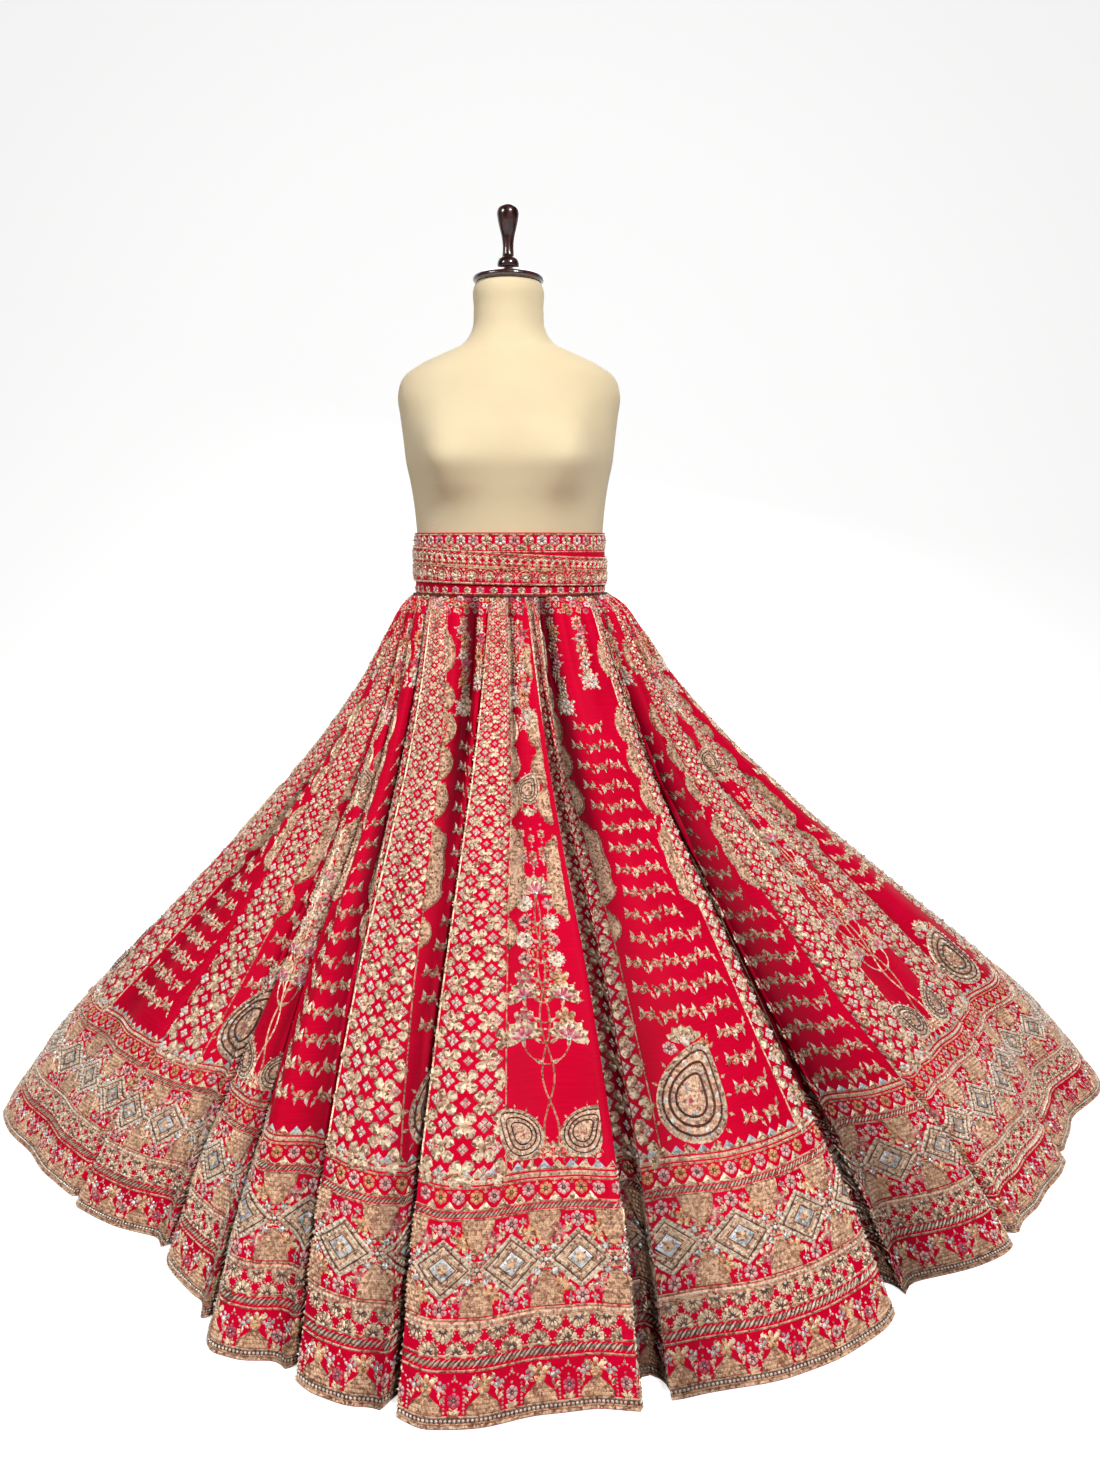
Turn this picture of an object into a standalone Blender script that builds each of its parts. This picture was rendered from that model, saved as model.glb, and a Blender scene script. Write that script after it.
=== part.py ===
# Bridal lehenga skirt standing on a limbless dress form.
# Axis convention: metres, +Z up, the wearer's front faces -Y.
# Origin: centre of the underside of the stand's round base plate.
import bmesh
import bpy
import math
import numpy as np

COLLECTION = "lehenga_skirt"

# ---- the skirt's cut -------------------------------------------------------
KALIS = 20                 # tapered panels sewn side by side
KALI_WIDTH_TOP = 0.065     # one panel before gathering
KALI_WIDTH_HEM = 0.290
CLOTH = 0.0018             # silk with its backing and embroidery
HEM_CORD = 0.0030          # the wall at the corded hem
SEAM_GAP = 0.0003
KALI_COLUMNS = 12
KALI_ROWS = (0.0, 0.025, 0.065, 0.125, 0.205, 0.305, 0.420, 0.550, 0.700, 0.850, 0.982, 1.0)

Z_BAND_TOP = 0.8620
Z_GATHER = 0.7720          # where the panels are gathered to the waistband
Z_HEM = 0.0010
BAND_HALF_X = 0.1425       # outside of the waistband
BAND_HALF_Y = 0.1075
GATHER_HALF_X = 0.1440     # middle of the gathers under the band
GATHER_HALF_Y = 0.1090
BAND_WALL = 0.0020
BAND_SIDES = 36

BELT_WALL = 0.0028
BELT_RIB = 0.0011          # the couched cords along the belt
BELT_CLEAR = 0.0005

# One row for each fold between panels, from the back round by the wearer's
# right: where it lies at the waist and at the hem (degrees from the front, +
# is the wearer's left) and how far it bows between them, the share of a
# panel's width that it takes up, how much of the fold lies before the seam,
# its mouth, and how far it leans along the hem.
#     waist    hem    bow   share before mouth  lean
FOLDS = (
    (-184.0, -178.0, 0.0, 0.16, 0.50, 0.022, 0.000),
    (-165.0, -160.0, 0.0, 0.22, 0.50, 0.018, 0.012),
    (-147.0, -141.0, 1.5, 0.13, 0.50, 0.022, 0.000),
    (-129.0, -121.5, 0.0, 0.20, 0.50, 0.020, -0.008),
    (-113.0, -101.0, -1.5, 0.12, 0.50, 0.024, 0.000),
    (-98.0, -81.0, 0.0, 0.14, 0.50, 0.026, 0.000),
    (-85.0, -57.0, -1.0, 0.13, 0.50, 0.026, 0.000),
    (-74.0, -40.8, 0.0, 0.40, 1.00, 0.024, 0.022),
    (-63.0, -28.1, -4.5, 0.48, 1.00, 0.020, 0.034),
    (-49.0, -17.2, -3.0, 0.48, 1.00, 0.018, 0.034),
    (-10.5, -7.8, -1.2, 0.54, 1.00, 0.018, 0.040),
    (12.0, 13.4, 1.8, 0.34, -0.20, 0.022, 0.000),
    (55.0, 39.0, 0.0, 0.36, -0.30, 0.028, 0.004),
    (69.0, 55.0, -3.2, 0.18, 0.50, 0.030, 0.000),
    (80.0, 71.5, 1.8, 0.17, 0.50, 0.026, 0.000),
    (94.0, 90.0, 0.0, 0.13, 0.50, 0.026, 0.000),
    (109.0, 108.5, 0.0, 0.15, 0.50, 0.022, 0.006),
    (124.0, 127.0, -1.5, 0.13, 0.50, 0.024, 0.000),
    (141.0, 146.0, 0.0, 0.21, 0.50, 0.018, -0.010),
    (158.0, 164.0, 1.5, 0.14, 0.50, 0.022, 0.000),
)

# The hem's plan, without its folds: degrees from the front and radius.
HEM_PLAN = (
    (-180.0, 0.760), (-160.0, 0.765), (-140.0, 0.774), (-122.0, 0.782), (-104.0, 0.788),
    (-90.0, 0.790), (-80.0, 0.778), (-71.0, 0.735), (-62.0, 0.690), (-51.0, 0.650),
    (-42.2, 0.615), (-39.6, 0.634), (-31.0, 0.650), (-29.2, 0.654), (-27.0, 0.704),
    (-18.0, 0.697), (-16.4, 0.713), (-11.0, 0.724), (-8.1, 0.722), (-6.5, 0.742),
    (-2.0, 0.739), (4.7, 0.727), (9.0, 0.718), (12.0, 0.728), (13.6, 0.735),
    (20.0, 0.736), (30.0, 0.742), (37.5, 0.737), (40.6, 0.719), (47.0, 0.746),
    (54.0, 0.778), (57.0, 0.774), (65.5, 0.808), (73.0, 0.828), (79.0, 0.858),
    (86.0, 0.932), (95.0, 0.960), (104.0, 0.940), (115.0, 0.895), (127.0, 0.850),
    (142.0, 0.810), (160.0, 0.778),
)

# How far out the panels stand between waist (0) and hem (1), by drop.
#           drop   spread
FLARE = (
    (0.000, 0.000), (0.012, 0.020), (0.030, 0.042), (0.084, 0.078), (0.150, 0.122),
    (0.214, 0.172), (0.307, 0.255), (0.450, 0.405), (0.656, 0.640), (0.750, 0.752),
    (0.872, 0.890), (1.000, 1.000),
)

# ---- the dress form --------------------------------------------------------
# height, half width, depth to the front, depth to the back, bust fullness
TORSO = (
    (0.5600, 0.122, 0.094, 0.100, 0.000), (0.5740, 0.146, 0.111, 0.119, 0.000),
    (0.6200, 0.158, 0.118, 0.130, 0.000), (0.6800, 0.157, 0.115, 0.128, 0.000),
    (0.7350, 0.146, 0.106, 0.115, 0.000), (0.7540, 0.1385, 0.1005, 0.1065, 0.000),
    (0.7700, 0.1345, 0.0980, 0.0985, 0.000), (0.7810, 0.1400, 0.1050, 0.1050, 0.000),
    (0.8000, 0.1380, 0.1030, 0.1025, 0.000), (0.8300, 0.1370, 0.1020, 0.1015, 0.000),
    (0.8600, 0.1392, 0.1042, 0.1040, 0.000), (0.9000, 0.1420, 0.1085, 0.1045, 0.005),
    (0.9350, 0.1470, 0.1160, 0.1030, 0.018), (0.9650, 0.1530, 0.1220, 0.1050, 0.024),
    (0.9950, 0.1560, 0.1180, 0.1060, 0.017), (1.0300, 0.1600, 0.1070, 0.1050, 0.006),
    (1.0600, 0.1630, 0.0980, 0.1000, 0.000), (1.0830, 0.1560, 0.0890, 0.0930, 0.000),
    (1.1020, 0.1310, 0.0790, 0.0830, 0.000), (1.1180, 0.0960, 0.0690, 0.0710, 0.000),
    (1.1330, 0.0660, 0.0590, 0.0590, 0.000), (1.1500, 0.0540, 0.0530, 0.0510, 0.000),
    (1.1800, 0.0505, 0.0500, 0.0490, 0.000), (1.2100, 0.0500, 0.0495, 0.0490, 0.000),
    (1.2160, 0.0470, 0.0465, 0.0460, 0.000),
)
TORSO_SIDES = 36
BUST_ANGLE = 34.0

# turned neck cap and finial, top to bottom: height above the neck and radius
NECK_CAP = (
    (0.0200, 0.0000), (0.0200, 0.0180), (0.0185, 0.0250), (0.0150, 0.0360), (0.0105, 0.0450),
    (0.0090, 0.0500), (0.0050, 0.0515), (0.0010, 0.0490), (0.0003, 0.0440), (0.0003, 0.0000),
)
FINIAL = (
    (0.1078, 0.0000), (0.1062, 0.0085), (0.1020, 0.0140), (0.0960, 0.0160), (0.0880, 0.0152),
    (0.0760, 0.0125), (0.0640, 0.0095), (0.0520, 0.0080), (0.0400, 0.0085), (0.0360, 0.0105),
    (0.0330, 0.0140), (0.0270, 0.0160), (0.0215, 0.0150), (0.0203, 0.0125), (0.0203, 0.0000),
)
TURNED_STEPS = 24

BASE_RADIUS = 0.200
BASE_THICK = 0.009
POLE_RADIUS = 0.016


def smooth(x):
    x = np.clip(x, 0.0, 1.0)
    return x * x * (3.0 - 2.0 * x)


def seam_table():
    """The folds' columns with a copy of the first and last row either side."""
    rows = np.array(FOLDS)
    before = rows[-2:].copy()
    before[:, :2] -= 360.0
    after = rows[:3].copy()
    after[:, :2] += 360.0
    return np.vstack((before, rows, after))


SEAMS = seam_table()
SEAM_NUMBERS = np.arange(-2, KALIS + 3)


def hem_radius(angle):
    """Radius of the unfolded hem at an angle, its corners eased over 3 degrees."""
    plan = np.array(HEM_PLAN)
    total = 0.0
    for shift, weight in ((-1.6, 0.15), (-0.8, 0.22), (0.0, 0.26), (0.8, 0.22), (1.6, 0.15)):
        total = total + weight * np.interp(angle + shift, plan[:, 0], plan[:, 1], period=360.0)
    return total


def kali_width(t):
    return KALI_WIDTH_TOP + (KALI_WIDTH_HEM - KALI_WIDTH_TOP) * t


def fold_zone(number, t):
    """Where the fold at a seam starts and ends along the cloth, by drop."""
    row = SEAMS[number + 2]
    deep = 0.30 if row[3] > 0.3 else 0.24
    share = deep + (row[3] - deep) * smooth(t / 0.9)
    start = number - row[4] * share
    return start, start + share


def skirt_point(k, t):
    """Middle of the cloth at panel coordinate k (0 to KALIS) and drop t (0 to 1)."""
    k, t = np.broadcast_arrays(np.asarray(k, float), np.asarray(t, float))
    width = kali_width(t)
    u = k.copy()
    inward = np.zeros_like(u)
    along = np.zeros_like(u)
    edges = []
    for number, row in zip(SEAM_NUMBERS, SEAMS):
        start, end = fold_zone(number, t)
        half_mouth = 0.5 * row[5] * (0.28 + 0.72 * t)
        edges.append((start, end, number, row, end - start, half_mouth))
    for left, right in zip(edges, edges[1:]):
        last_end, last_number, last_mouth = left[1], left[2], left[5]
        start, end, number, row, share, half_mouth = right
        # between folds the cloth follows the plan at an even pace, mouth to mouth
        open_part = (k > last_end) & (k <= start)
        run = (k - last_end) / np.maximum(start - last_end, 1e-6)
        u = np.where(open_part, last_number + run, u)
        along = np.where(open_part, last_mouth * (1.0 - run) - half_mouth * run, along)
        folded = (k > start) & (k <= end)
        place = (k - 0.5 * (start + end)) / (0.5 * share)
        depth = 0.93 * (0.5 * share * width) * (0.45 + 0.55 * smooth(t / 0.04))
        lean = row[6] * smooth(t / 0.8)
        depth = np.sqrt(np.maximum(depth ** 2 - (0.6 * lean) ** 2, (0.4 * depth) ** 2))
        bend = smooth(1.0 - np.abs(place))
        inward = np.where(folded, depth * bend, inward)
        along = np.where(folded, lean * bend + half_mouth * place, along)
        u = np.where(folded, float(number), u)
    # one softer gather in the middle of each panel, dying out below the hips
    panel = np.floor(k)
    which = panel % KALIS
    centre = panel + 0.53 + 0.06 * np.sin(which * 2.1)
    pinch = smooth(1.0 - np.abs(k - centre) / 0.24)
    drop = np.interp(t, (0.0, 0.03, 0.12, 0.30, 0.55, 1.0), (0.0032, 0.0095, 0.0140, 0.0130, 0.0090, 0.0080))
    drop = drop * (1.0 + 0.35 * np.sin(which * 1.7 + 0.6))
    inward = inward + drop * pinch
    waist_angle = np.radians(np.interp(u, SEAM_NUMBERS, SEAMS[:, 0]))
    bow = 16.0 * (t * (1.0 - t)) ** 2 * np.interp(u, SEAM_NUMBERS, SEAMS[:, 2])
    hem_angle_deg = np.interp(u, SEAM_NUMBERS, SEAMS[:, 1]) + bow
    hem_angle = np.radians(hem_angle_deg)
    flare = np.array(FLARE)
    spread = np.interp(t, flare[:, 0], flare[:, 1])
    radius = hem_radius(hem_angle_deg)
    x0 = GATHER_HALF_X * np.sin(waist_angle)
    y0 = -GATHER_HALF_Y * np.cos(waist_angle)
    x1 = radius * np.sin(hem_angle)
    y1 = -radius * np.cos(hem_angle)
    x = x0 + (x1 - x0) * spread
    y = y0 + (y1 - y0) * spread
    size = np.hypot(x, y)
    nx, ny = x / size, y / size
    x = x - nx * inward - ny * along
    y = y - ny * inward + nx * along
    z = (Z_GATHER - SEAM_GAP) + (Z_HEM - Z_GATHER + SEAM_GAP) * t
    return np.stack((x, y, z), axis=-1)


def material(name, colour, roughness=0.6, metallic=0.0):
    made = bpy.data.materials.new(name)
    made.use_nodes = True
    shader = made.node_tree.nodes["Principled BSDF"]
    shader.inputs["Base Color"].default_value = (*colour, 1.0)
    shader.inputs["Roughness"].default_value = roughness
    shader.inputs["Metallic"].default_value = metallic
    return made


def add_object(name, mesh, made):
    mesh.materials.append(made)
    built = bpy.data.objects.new(name, mesh)
    bpy.data.collections[COLLECTION].objects.link(built)
    return built


def closed_mesh(name, vertices, faces):
    mesh = bpy.data.meshes.new(name)
    mesh.from_pydata([tuple(v) for v in vertices], [], faces)
    shape = bmesh.new()
    shape.from_mesh(mesh)
    bmesh.ops.recalc_face_normals(shape, faces=shape.faces)
    bmesh.ops.triangulate(shape, faces=shape.faces)
    if shape.calc_volume(signed=True) < 0.0:
        bmesh.ops.reverse_faces(shape, faces=shape.faces)
    shape.to_mesh(mesh)
    shape.free()
    return mesh


def walled_patch(name, middle, normal, half):
    """Close an open grid of middle points into one wall, cut alike on both faces."""
    rows, columns = middle.shape[:2]
    outer = middle + normal * half
    inner = middle - normal * half
    for side in (outer, inner):
        side[0, :, 2] = Z_GATHER - SEAM_GAP
        side[-1, :, 2] = Z_HEM
    vertices = np.vstack((outer.reshape(-1, 3), inner.reshape(-1, 3)))
    back = rows * columns
    faces = []
    for r in range(rows - 1):
        for c in range(columns - 1):
            a = r * columns + c
            b = a + 1
            d = a + columns
            e = d + 1
            falling = np.linalg.norm(middle[r, c] - middle[r + 1, c + 1])
            rising = np.linalg.norm(middle[r, c + 1] - middle[r + 1, c])
            cut = ((a, d, e), (a, e, b)) if falling < rising else ((a, d, b), (b, d, e))
            for one, two, three in cut:
                faces.append((one, two, three))
                faces.append((back + one, back + three, back + two))
    rim = [c for c in range(columns)]
    rim += [r * columns + columns - 1 for r in range(1, rows)]
    rim += [(rows - 1) * columns + c for c in range(columns - 2, -1, -1)]
    rim += [r * columns for r in range(rows - 2, 0, -1)]
    for here, there in zip(rim, rim[1:] + rim[:1]):
        if here % columns == 0 and there % columns == 0:
            faces.append((here, there, back + here))
            faces.append((there, back + there, back + here))
        else:
            faces.append((here, there, back + there))
            faces.append((here, back + there, back + here))
    return closed_mesh(name, vertices, faces)


def ring_mesh(name, sections, sides, point):
    """A closed tube of wall: sections go up outside and come down inside."""
    vertices = []
    for section in sections:
        for i in range(sides):
            vertices.append(point(2.0 * math.pi * i / sides, section))
    faces = []
    count = len(sections)
    for s in range(count):
        after = (s + 1) % count
        for i in range(sides):
            j = (i + 1) % sides
            faces.append((s * sides + i, s * sides + j, after * sides + j, after * sides + i))
    return closed_mesh(name, vertices, faces)


def capped_loft(name, rings):
    """A solid through rings of equal count, closed flat at both ends."""
    sides = len(rings[0])
    vertices = [v for ring in rings for v in ring]
    faces = []
    for r in range(len(rings) - 1):
        for i in range(sides):
            j = (i + 1) % sides
            faces.append((r * sides + i, r * sides + j, (r + 1) * sides + j, (r + 1) * sides + i))
    faces.append(tuple(range(sides)))
    top = (len(rings) - 1) * sides
    faces.append(tuple(top + i for i in range(sides)))
    return closed_mesh(name, vertices, faces)


# ---- start from an empty file ----------------------------------------------
for leftover in list(bpy.data.objects):
    bpy.data.objects.remove(leftover)
parts = bpy.data.collections.new(COLLECTION)
bpy.context.scene.collection.children.link(parts)

silk = material("crimson_silk", (0.74, 0.004, 0.030), 0.45)
zari = material("gold_embroidery", (0.52, 0.33, 0.13), 0.45, 0.4)
jersey = material("cream_jersey", (0.78, 0.66, 0.46), 0.85)
mahogany = material("dark_mahogany", (0.045, 0.010, 0.008), 0.2)
steel = material("brushed_steel", (0.42, 0.42, 0.43), 0.35, 1.0)

# ---- the kalis: tapered panels, each a folded wall from waist to hem --------
def kali_columns(number, t):
    """The columns of one panel at a drop: its seams, and the edges, middles
    and deepest lines of the folds that lie on it."""
    start, end = fold_zone(number, t)
    line = [float(number)]
    if end > number:
        deepest = 0.5 * (start + end)
        if start > number:
            line += [start, 0.5 * (start + deepest)]
        if deepest > number + 1e-6:
            line += [deepest]
        line += [0.5 * (max(deepest, number) + end), end]
    after, finish = fold_zone(number + 1, t)
    tail = [number + 1.0]
    if after < number + 1:
        deepest = 0.5 * (after + finish)
        if deepest < number + 1 - 1e-6:
            tail = [after, 0.5 * (after + deepest), deepest, 0.5 * (deepest + finish), number + 1.0]
        else:
            tail = [after, 0.5 * (after + deepest), number + 1.0]
    steps = KALI_COLUMNS + 1 - len(line) - len(tail)
    open_part = [line[-1] + (tail[0] - line[-1]) * (i + 1) / (steps + 1) for i in range(steps)]
    return line + open_part + tail


def facet_normals(points):
    """Normals of a grid of points from the facets round each, and how far to
    stretch them so that the wall keeps its thickness where the cloth is creased."""
    cross = np.cross(points[1:, 1:] - points[:-1, :-1], points[:-1, 1:] - points[1:, :-1])
    facet = cross / np.linalg.norm(cross, axis=-1, keepdims=True)
    total = np.zeros_like(points)
    for rows, columns in ((slice(None, -1), slice(None, -1)), (slice(None, -1), slice(1, None)),
                          (slice(1, None), slice(None, -1)), (slice(1, None), slice(1, None))):
        total[rows, columns] += facet
    normal = total / np.linalg.norm(total, axis=-1, keepdims=True)
    lean = np.ones(points.shape[:2])
    for rows, columns in ((slice(None, -1), slice(None, -1)), (slice(None, -1), slice(1, None)),
                          (slice(1, None), slice(None, -1)), (slice(1, None), slice(1, None))):
        lean[rows, columns] = np.minimum(lean[rows, columns], np.sum(facet * normal[rows, columns], axis=-1))
    return normal, 1.0 / np.clip(lean, 0.78, 1.0)


t_rows = np.array(KALI_ROWS)
wall = np.interp(t_rows, (0.0, 0.86, 0.98, 1.0), (CLOTH, CLOTH, HEM_CORD, HEM_CORD))
for number in range(KALIS):
    grid_k = []
    for t in t_rows:
        before = kali_columns((number - 1) % KALIS, t)[-2] - (KALIS if number == 0 else 0)
        after = kali_columns((number + 1) % KALIS, t)[1] + (KALIS if number == KALIS - 1 else 0)
        grid_k.append([before] + kali_columns(number, t) + [after])
    grid_k = np.array(grid_k)
    grid_t = np.repeat(t_rows[:, None], grid_k.shape[1], axis=1)
    points = skirt_point(grid_k, grid_t)
    normal, stretch = facet_normals(points)
    middle = points[:, 1:-1].copy()
    normal = normal[:, 1:-1]
    # the seam's two sides are trimmed square to the cloth, in its own plane
    for column, after, before, sign in ((0, 2, 0, 1.0), (-1, -1, -3, -1.0)):
        facing = normal[:, column]
        run = points[:, after] - points[:, before]
        run -= facing * np.sum(run * facing, axis=-1, keepdims=True)
        run /= np.linalg.norm(run, axis=-1, keepdims=True)
        middle[:, column] = middle[:, column] + sign * 0.5 * SEAM_GAP * run
    half = 0.5 * wall[:, None, None] * stretch[:, 1:-1, None]
    panel = walled_patch(f"kali_{number + 1:02d}", middle, normal, half)
    add_object(f"kali_{number + 1:02d}", panel, silk)


# ---- the waistband: a straight oval band of the same cloth -----------------
def band_point(angle, section):
    height, out = section
    return (
        (BAND_HALF_X + out) * math.sin(angle),
        -(BAND_HALF_Y + out) * math.cos(angle),
        height,
    )


band_sections = (
    (Z_GATHER, 0.0006),
    (Z_GATHER + 0.0030, 0.0014),
    (Z_GATHER + 0.0060, 0.0006),
    (Z_GATHER + 0.0075, 0.0),
    (Z_BAND_TOP - 0.0055, 0.0),
    (Z_BAND_TOP - 0.0045, 0.0006),
    (Z_BAND_TOP - 0.0020, 0.0012),
    (Z_BAND_TOP, 0.0004),
    (Z_BAND_TOP, -BAND_WALL),
    (Z_GATHER, -BAND_WALL),
)
add_object("waistband", ring_mesh("waistband", band_sections, BAND_SIDES, band_point), silk)


# ---- the belt: a stiff embroidered band, a little lower at the wearer's left
def belt_point(angle, section):
    level, out = section
    base = 0.7885 - 0.0030 * math.sin(angle)
    top = 0.8355 - 0.0085 * math.sin(angle) - 0.0020 * math.cos(angle)
    reach = BELT_CLEAR + BELT_WALL + out
    return (
        (BAND_HALF_X + reach) * math.sin(angle),
        -(BAND_HALF_Y + reach) * math.cos(angle),
        base + (top - base) * level,
    )


belt_sections = (
    (0.000, 0.0000),
    (0.030, BELT_RIB),
    (0.075, BELT_RIB),
    (0.105, 0.0000),
    (0.440, 0.0000),
    (0.465, 0.8 * BELT_RIB),
    (0.505, 0.8 * BELT_RIB),
    (0.530, 0.0000),
    (0.895, 0.0000),
    (0.925, BELT_RIB),
    (0.970, BELT_RIB),
    (1.000, 0.0000),
    (1.000, -BELT_WALL),
    (0.000, -BELT_WALL),
)
add_object("belt", ring_mesh("belt", belt_sections, BAND_SIDES, belt_point), zari)

# ---- the dress form's padded body ------------------------------------------
torso_rings = []
for height, half_width, front, back, bust in TORSO:
    ring = []
    for i in range(TORSO_SIDES):
        angle = 2.0 * math.pi * i / TORSO_SIDES
        forward = math.cos(angle)
        depth = front if forward > 0.0 else back
        x = half_width * math.sin(angle)
        y = -depth * forward
        turn = math.degrees(math.atan2(math.sin(angle), math.cos(angle)))
        swell = math.exp(-(((abs(turn) - BUST_ANGLE) / 17.0) ** 2))
        x += bust * swell * 0.45 * math.sin(angle)
        y -= bust * swell
        ring.append((x, y, height))
    torso_rings.append(ring)
add_object("form_torso", capped_loft("form_torso", torso_rings), jersey)


# ---- turned wood: neck cap and finial --------------------------------------
def turned(name, profile, base, made):
    """A turned piece: its profile at +X, from the top down, spun by a Screw."""
    mesh = bpy.data.meshes.new(name)
    points = [(radius, 0.0, rise) for rise, radius in profile]
    mesh.from_pydata(points, [(i, i + 1) for i in range(len(points) - 1)], [])
    piece = add_object(name, mesh, made)
    piece.location.z = base
    spin = piece.modifiers.new("lathe", "SCREW")
    spin.axis = "Z"
    spin.angle = 2.0 * math.pi
    spin.steps = TURNED_STEPS
    spin.render_steps = TURNED_STEPS
    spin.use_merge_vertices = True
    spin.merge_threshold = 0.0001
    spin.use_smooth_shade = True


neck_top = TORSO[-1][0]
turned("neck_cap", NECK_CAP, neck_top, mahogany)
turned("finial", FINIAL, neck_top, mahogany)

# ---- stand: pole and round base plate --------------------------------------
pole_bottom = BASE_THICK + SEAM_GAP
pole_top = TORSO[0][0] - SEAM_GAP
pole_shape = bmesh.new()
bmesh.ops.create_cone(
    pole_shape, cap_ends=True, segments=28, radius1=POLE_RADIUS, radius2=POLE_RADIUS,
    depth=pole_top - pole_bottom,
)
pole_mesh = bpy.data.meshes.new("stand_pole")
pole_shape.to_mesh(pole_mesh)
pole_shape.free()
pole = add_object("stand_pole", pole_mesh, steel)
pole.location.z = 0.5 * (pole_top + pole_bottom)

base_shape = bmesh.new()
bmesh.ops.create_cone(
    base_shape, cap_ends=True, segments=48, radius1=BASE_RADIUS, radius2=BASE_RADIUS, depth=BASE_THICK,
)
base_mesh = bpy.data.meshes.new("stand_base")
base_shape.to_mesh(base_mesh)
base_shape.free()
base = add_object("stand_base", base_mesh, steel)
base.location.z = 0.5 * BASE_THICK
rim = base.modifiers.new("rounded_rim", "BEVEL")
rim.width = 0.0025
rim.segments = 2
rim.limit_method = "ANGLE"
rim.angle_limit = math.radians(60.0)

for piece in parts.objects:
    piece.data.shade_smooth()
    if piece.name.startswith(("stand", "waistband", "belt")):
        piece.data.set_sharp_from_angle(angle=math.radians(40.0))
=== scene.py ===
import math

import bpy
import numpy as np
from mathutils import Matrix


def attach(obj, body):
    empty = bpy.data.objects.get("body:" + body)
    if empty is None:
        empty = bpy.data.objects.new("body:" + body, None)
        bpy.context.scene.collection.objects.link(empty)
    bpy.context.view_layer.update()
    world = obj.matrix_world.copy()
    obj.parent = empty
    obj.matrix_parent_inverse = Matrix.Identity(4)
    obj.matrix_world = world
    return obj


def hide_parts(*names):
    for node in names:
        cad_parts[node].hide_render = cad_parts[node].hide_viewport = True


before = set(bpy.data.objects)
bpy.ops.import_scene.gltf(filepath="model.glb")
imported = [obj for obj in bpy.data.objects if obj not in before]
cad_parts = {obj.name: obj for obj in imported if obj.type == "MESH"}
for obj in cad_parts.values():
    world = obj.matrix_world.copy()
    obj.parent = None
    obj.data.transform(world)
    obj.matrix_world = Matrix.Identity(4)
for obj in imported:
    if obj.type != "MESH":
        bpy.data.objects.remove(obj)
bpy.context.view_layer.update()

# ---- stand: base plate and pole ---------------------------------------------
# The foot that carries the form: a round plate of 9 mm steel with a tube screwed
# into its middle. Both are brushed and lacquered, and the skirt hides them.


class Shade:
    """One socket of a finish. Sums on it add Math nodes, and node() adds any other."""

    def __init__(self, tree, socket):
        self.tree = tree
        self.socket = socket

    def node(self, kind, settings, sockets, out=0):
        made = self.tree.nodes.new("ShaderNode" + kind)
        for name, value in settings.items():
            setattr(made, name, value)
        for key, value in sockets.items():
            if isinstance(value, Shade):
                self.tree.links.new(value.socket, made.inputs[key])
            else:
                made.inputs[key].default_value = value
        return Shade(self.tree, made.outputs[out])

    def sum(self, operation, first, second):
        return self.node("Math", {"operation": operation}, {0: first, 1: second})

    def __add__(self, other):
        return self.sum("ADD", self, other)

    def __mul__(self, other):
        return self.sum("MULTIPLY", self, other)

    __radd__, __rmul__ = __add__, __mul__

    def mix(self, first, second):
        """From one colour to another by this value."""
        first, second = (c if isinstance(c, Shade) else (*c, 1.0) for c in (first, second))
        return self.node("Mix", {"data_type": "RGBA"}, {0: self, 6: first, 7: second}, 2)

    def fit(self, low, high, to_low=0.0, to_high=1.0):
        """This value, moved from one range to another."""
        return self.node("MapRange", {}, {0: self, 1: low, 2: high, 3: to_low, 4: to_high})


class Finish:
    """A material with its own shader; what varies is joined through Shades."""

    def __init__(self, name, **constants):
        self.material = bpy.data.materials.new(name)
        self.material.use_nodes = True
        self.tree = self.material.node_tree
        self.shader = self.tree.nodes["Principled BSDF"]
        for socket, value in constants.items():
            self.shader.inputs[socket.replace("_", " ")].default_value = value
        self.start = Shade(self.tree, None)

    def place(self, kind="Object"):
        return self.start.node("TexCoord", {}, {}, kind)

    def scaled(self, place, *scale):
        return self.start.node("Mapping", {}, {"Vector": place, "Scale": scale})

    def noise(self, place, scale, detail=2.0):
        return self.start.node("TexNoise", {}, {"Vector": place, "Scale": scale, "Detail": detail})

    def join(self, socket, value):
        self.tree.links.new(value.socket, self.shader.inputs[socket])

    def bump(self, height, distance, strength=1.0):
        sockets = {"Height": height, "Distance": distance, "Strength": strength}
        self.join("Normal", self.start.node("Bump", {}, sockets))


steel = Finish("brushed_steel", Metallic=1.0, Specular_IOR_Level=0.5)
brushing = steel.noise(steel.scaled(steel.place(), 40.0, 40.0, 900.0), 3.0)
steel.join("Base Color", brushing.mix((0.42, 0.42, 0.43), (0.55, 0.55, 0.56)))
steel.join("Roughness", brushing.fit(0.0, 1.0, 0.28, 0.42))
steel.bump(brushing, 0.0002)
for node in ("stand_base", "stand_pole"):
    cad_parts[node].material_slots[0].material = steel.material

# ---- dress form: the padded body ----------------------------------------------
# A limbless tailor's form: a moulded shell padded and covered with one layer of
# cream cotton jersey, pulled smooth over bust, waist and shoulders and closed
# round the neck. The skirt hangs from its waist.

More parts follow.
